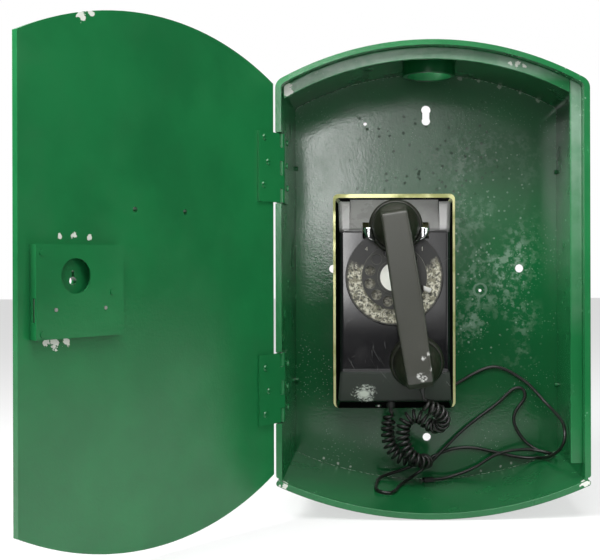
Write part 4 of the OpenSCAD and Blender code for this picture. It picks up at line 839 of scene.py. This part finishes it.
for node, width, edge in (
        ("case_wall", 0.7, edge_paint), ("bottom_plate", 0.8, edge_paint), ("door_plate", 0.8, None),
        ("lock_case", 1.2, None), ("upper_case_leaf", 0.4, None), ("lower_case_leaf", 0.4, None),
        ("upper_door_leaf", 0.4, None), ("lower_door_leaf", 0.4, None), ("top_stop", 0.6, edge_paint),
        ("side_stop", 0.6, None), ("finger_stop", 0.4, None), ("finger_wheel", 0.3, pale_rim),
        ("card_ring", 0.3, pale_rim), ("conduit_hub", 0.8, None)):
    eased(node, width, edge)

# The housing: a tapered black shell with rounded outer edges, cut for the handset, the dial and the hook.
# BACK is the depth of its back edge; the dial's raised ring, its hole and the ledge in it have a radius each
SHELL = 2.5
BACK = 9.7
HALF_WIDTH, NARROWING, HOUSING_DEPTH = 68, 7.8, 60.3
OUTER_ROUNDING = 4.2
HOUSING_SIDE = [(BACK, -151.6), (40, -139.5), (70, -103), (63, 53), (48, 86), (BACK, 92.4)]
HOLLOW_SIDE = [(63, 52.5), (103, 52.5), (103, 134.5), (26, 134.5), (26, 95.5)]
SCOOP_R, SCOOP_DEPTH = 38, 56
HOLLOW_HALF = 50
OPEN_HALF, OPEN_LOW, OPEN_HIGH = 63, -145, 89.5
RING_R, HOLE_R, LEDGE_R = 57, 54.2, 48.7
RING_BACK, LEDGE_DEPTH, PAST_FRONT = 58.5, 62.3, 72
SLOT_NEAR, SLOT_FAR, SLOT_LOW, SLOT_HIGH = 26.23, 36.83, 43.5, 62
GROMMET_R = 5.05
SCREW_X, SCREW_DEPTH, SCREW_R, SCREW_HEAD_R = -56, 20, 1.8, 4.4


def housing_block(inset):
    """The housing's outer form, moved inwards by an inset."""
    form = drawn_across(drawn_in(HOUSING_SIDE, inset), -1, 1)
    for v in form.verts:
        half = HALF_WIDTH - inset - (-v.co.y / MM - BACK) * NARROWING / HOUSING_DEPTH
        v.co.x = (PHONE_X + math.copysign(half, v.co.x)) * MM
    rim = -(BACK + inset + 0.1) * MM
    eased_corners(form, max(1.5, OUTER_ROUNDING - inset), 5, lambda e: any(v.co.y < rim for v in e.verts))
    return form


def hollow(outward):
    """The space for the handset's top, moved outwards."""
    form = drawn_across(drawn_in(HOLLOW_SIDE, -outward), PHONE_X - HOLLOW_HALF - outward,
                        PHONE_X + HOLLOW_HALF + outward)
    scoop = joined(rod(EAR_X, EAR_Z, SCOOP_R + outward, SCOOP_DEPTH - outward, 90),
                   ("DIFFERENCE", rod(DIAL_X, DIAL_Z, RING_R - outward, 0, 100)))
    return joined(form, ("UNION", scoop))


open_back = block(PHONE_X - OPEN_HALF, PHONE_X + OPEN_HALF, BACK - 1, BACK + 5, OPEN_LOW, OPEN_HIGH)
inside = joined(housing_block(SHELL), ("UNION", open_back), ("DIFFERENCE", hollow(SHELL)))
ring = joined(housing_block(0.01), ("INTERSECT", rod(DIAL_X, DIAL_Z, RING_R, RING_BACK, PAST_FRONT - 1)))
cuts = [rod(DIAL_X, DIAL_Z, HOLE_R, LEDGE_DEPTH, PAST_FRONT),
        rod(DIAL_X, DIAL_Z, LEDGE_R, RING_BACK - 1, PAST_FRONT),
        block(EAR_X - SLOT_FAR, EAR_X - SLOT_NEAR, 40, 90, SLOT_LOW, SLOT_HIGH),
        block(EAR_X + SLOT_NEAR, EAR_X + SLOT_FAR, 40, 90, SLOT_LOW, SLOT_HIGH),
        post(CORD_EXIT[0], CORD_EXIT[1], GROMMET_R, -154, -128),
        post(SCREW_X, SCREW_DEPTH, SCREW_R, -152, -134), post(SCREW_X, SCREW_DEPTH, SCREW_HEAD_R, -154, -146)]
housing = joined(housing_block(0), ("DIFFERENCE", inside), ("DIFFERENCE", hollow(0)), ("UNION", ring),
                 *[("DIFFERENCE", cut) for cut in cuts])
# The sides, the top and the underside are matt
for face in housing.faces:
    face.material_index = 1 if max(abs(face.normal.x), abs(face.normal.z)) > 0.9 else 0
housing = add_piece("housing_shell", housing, [black, black_side], "case", ["housing"], smooth=30)
rim_rounding = housing.modifiers.new("rim_rounding", "BEVEL")
rim_rounding.width = 0.5 * MM
rim_rounding.segments = 2
rim_rounding.limit_method = "ANGLE"
rim_rounding.angle_limit = math.radians(40)
housing.modifiers.move(1, 0)

# The handset: a moulded handle that runs into two domed cups, and a turned cap under each
HANDLE_HALF, HANDLE_REACH, BULGE = 14, 88, 0.11
BORE_R, BORE_TO = 24.6, 16.2
CAP_HOLES_R, CAP_HOLE_R = 9, 1.3
HANDLE_SIDE = [(98, -58), (96, -70), (92, -99), (110, -101), (119.5, -95), (122, -86), (122, 86), (120, 88.5),
               (109, 90), (90, 98), (90, 50), (98, 43)]
CUP = [(0, 3.3), (26, 3.3), (26, 17), (25.3, 23), (23.4, 29), (20, 34.5), (15.5, 39), (9, 42.5), (0, 44)]
CAP = [(0, 0), (26.5, 0), (28.6, 0.9), (29.5, 3), (29.5, 10), (28.9, 12.4), (27.6, 13.7), (26.3, 14),
       (26.3, 3.2), (0, 3.2)]
at_handset = (Matrix.Translation(Vector((HANDSET_X, 0, HANDSET_Z)) * MM)
              @ Matrix.Rotation(HANDSET_TILT, 4, "Y"))
at_ear = Matrix.Translation(Vector((0, -71, 74)) * MM)
at_mouth = Matrix.Translation(Vector((0, -77.5, -74)) * MM) @ Matrix.Rotation(math.radians(12), 4, "X")


def placed(form, place):
    """The form moved to a place."""
    bmesh.ops.transform(form, matrix=place, verts=form.verts)
    return form


handle = drawn_across(HANDLE_SIDE, -HANDLE_HALF, HANDLE_HALF)
eased_corners(handle, 1.6, 3, lambda e: abs(e.verts[0].co.x - e.verts[1].co.x) < 1e-6)
handle = joined(handle, ("UNION", placed(turned(CUP), at_ear)), ("UNION", placed(turned(CUP), at_mouth)))
handle = remoulded(handle, voxel=0.9, rounds=6)

# The bar is widest at its middle, and the cups are painted darker than it as painted shade
for v in handle.verts:
    if v.co.y < -99 * MM and abs(v.co.x) < 15 * MM:
        v.co.x *= 1 + BULGE * max(0, 1 - (v.co.z / (HANDLE_REACH * MM)) ** 2)
bores = [placed(rod(0, 0, BORE_R, 0, BORE_TO), place) for place in (at_ear, at_mouth)]
bores.append(post(BOOT_X, BOOT_DEPTH, BOOT_R, -109, -99))
handle = joined(handle, *[("DIFFERENCE", bore) for bore in bores])
for face in handle.faces:
    middle = face.calc_center_median() / MM
    face.material_index = 1 if abs(middle.z) > 42 and (abs(middle.x) > 14.6 or middle.y > -95) else 0
add_piece("handset_body", placed(handle, at_handset), [grey, cup_painted_shade], "handset", ["handset_handle"],
          smooth=35, even=False)
for node, place in (("ear_cap", at_ear), ("mouth_cap", at_mouth)):
    round_middle = [math.radians(a) for a in range(0, 360, 60)]
    spread = [(0, 0)] + [(CAP_HOLES_R * math.cos(a), CAP_HOLES_R * math.sin(a)) for a in round_middle]
    cap = joined(turned(CAP), *[("DIFFERENCE", rod(x, z, CAP_HOLE_R, -1, 4, 24)) for x, z in spread])
    add_piece(node + "_turned", placed(cap, at_handset @ place), [cup_painted_shade], "handset", [node])

# The hook's prongs are bent and plated, so their edges are soft
PRONG_BACK, PRONG_MIDDLE, PRONG_HALF, PRONG_BEND = 60 * MM, 29.5 * MM, 7 * MM, 3 * MM
prongs = remoulded(merged_copy("hook_lever"), voxel=0.55, rounds=6)
for v in prongs.verts:
    if v.co.y < -PRONG_BACK:
        across = (abs(v.co.x - EAR_X * MM) - PRONG_MIDDLE) / PRONG_HALF
        v.co.y += PRONG_BEND * min(1, across * across)
add_piece("hook_prongs", prongs, [chrome], "hook", ["hook_lever"], even=False)

# The plain numbers round the dial
NUMBER_SIZE, NUMBER_RADIUS, NUMBER_DEPTH = 6.4, 43.6, 66.06
FIRST_ANGLE, ANGLE_STEP = 45, 30
numbers = bmesh.new()
for i in range(10):
    written = bpy.data.curves.new("number", "FONT")
    written.body = str((i + 1) % 10)
    written.size = NUMBER_SIZE * MM
    written.extrude = 0.04 * MM
    written.align_x = "CENTER"
    written.align_y = "CENTER"
    drawn = bpy.data.objects.new("number", written)
    flat_number = bpy.data.meshes.new_from_object(drawn)
    bpy.data.objects.remove(drawn)
    angle = math.radians(FIRST_ANGLE + ANGLE_STEP * i)
    spot = Vector((DIAL_X + NUMBER_RADIUS * math.cos(angle), -NUMBER_DEPTH,
                   DIAL_Z + NUMBER_RADIUS * math.sin(angle))) * MM
    flat_number.transform(Matrix.Translation(spot) @ Matrix.Rotation(math.radians(90), 4, "X"))
    numbers.from_mesh(flat_number)
numbers_piece = add_piece("dial_numbers", numbers, [number_paint], "case", even=False)

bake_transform(handset_cord)

# The floor is white paper that keeps the object's shadow; its front edge lies below the picture
FLOOR, FLOOR_HALF, FLOOR_MIDDLE = -0.2422, 3.5, 2.93
OWN_GLOW = 0.62
paper = Finish("white_paper", (0.86, 0.86, 0.86), 0.9)
rays = paper.add("ShaderNodeLightPath")
kinds = ("Is Camera Ray", "Is Glossy Ray", "Is Transmission Ray")
seen = paper.either(*[rays.outputs[kind] for kind in kinds])
glow = paper.add("ShaderNodeEmission")
blend = paper.add("ShaderNodeMixShader")
paper.join(paper.times(seen, OWN_GLOW), blend.inputs[0])
paper.join(paper.shader.outputs[0], blend.inputs[1])
paper.join(glow.outputs[0], blend.inputs[2])
paper.join(blend.outputs[0], paper.tree.nodes["Material Output"].inputs["Surface"])
sheet = bmesh.new()
bmesh.ops.create_grid(sheet, x_segments=1, y_segments=1, size=FLOOR_HALF,
                      matrix=Matrix.Translation((0, FLOOR_MIDDLE, FLOOR)))
floor_mesh = bpy.data.meshes.new("floor")
sheet.to_mesh(floor_mesh)
sheet.free()
floor = bpy.data.objects.new("floor", floor_mesh)
scene.collection.objects.link(floor)
coat(floor, paper.material)

# The world is white behind the object and dim at the sides and in front, as in a studio.
# FADE says between which Y of a direction the light changes, and from which strength to which
FADE = (0.4, 0.8, 0.04, 1.0)
world = bpy.data.worlds.new("studio")
scene.world = world
world.use_nodes = True
tree = world.node_tree
way = tree.nodes.new("ShaderNodeTexCoord")
split = tree.nodes.new("ShaderNodeSeparateXYZ")
fade = tree.nodes.new("ShaderNodeMapRange")
rays = tree.nodes.new("ShaderNodeLightPath")
white = tree.nodes.new("ShaderNodeMath")
white.operation = "MAXIMUM"
tree.links.new(way.outputs["Generated"], split.inputs[0])
tree.links.new(split.outputs[1], fade.inputs[0])
for socket, value in zip(fade.inputs[1:5], FADE):
    socket.default_value = value
tree.links.new(fade.outputs[0], white.inputs[0])
tree.links.new(rays.outputs["Is Camera Ray"], white.inputs[1])
background = tree.nodes["Background"]
background.inputs[0].default_value = (1, 1, 1, 1)
tree.links.new(white.outputs[0], background.inputs[1])


def softbox(name, place, aim, size, power):
    """A rectangular lamp at a place, turned to its aim, with its size in metres and its power in watts."""
    data = bpy.data.lights.new(name, "AREA")
    data.shape = "RECTANGLE"
    data.size, data.size_y = size
    data.energy = power
    lamp = bpy.data.objects.new(name, data)
    scene.collection.objects.link(lamp)
    lamp.location = place
    lamp.rotation_euler = (Vector(aim) - Vector(place)).to_track_quat("-Z", "Y").to_euler()


softbox("front", (0.02, -1.5, 0.25), (0.02, 0, 0.25), (0.61, 0.5), 0.5)
softbox("front_middle", (-0.075, -1.49, 0.25), (-0.075, 0, 0.25), (0.39, 0.5), 1.2)
softbox("front_left", (-0.2, -1.48, 0.27), (-0.2, 0, 0.27), (0.14, 0.45), 1.8)
softbox("top_front", (-0.05, -0.85, 0.95), (0, -0.1, 0.1), (1.0, 0.65), 15)
softbox("key", (-0.85, -0.7, 0.75), (0.1, -0.1, 0), (0.5, 0.5), 24)
softbox("right", (1.3, -1.2, 0.5), (-0.2, -0.2, 0), (1.0, 1.2), 10.5)
softbox("overhead", (0, -0.4, 1.8), (0, -0.4, 0), (1.5, 1.5), 12)

scene.view_settings.view_transform = "Standard"
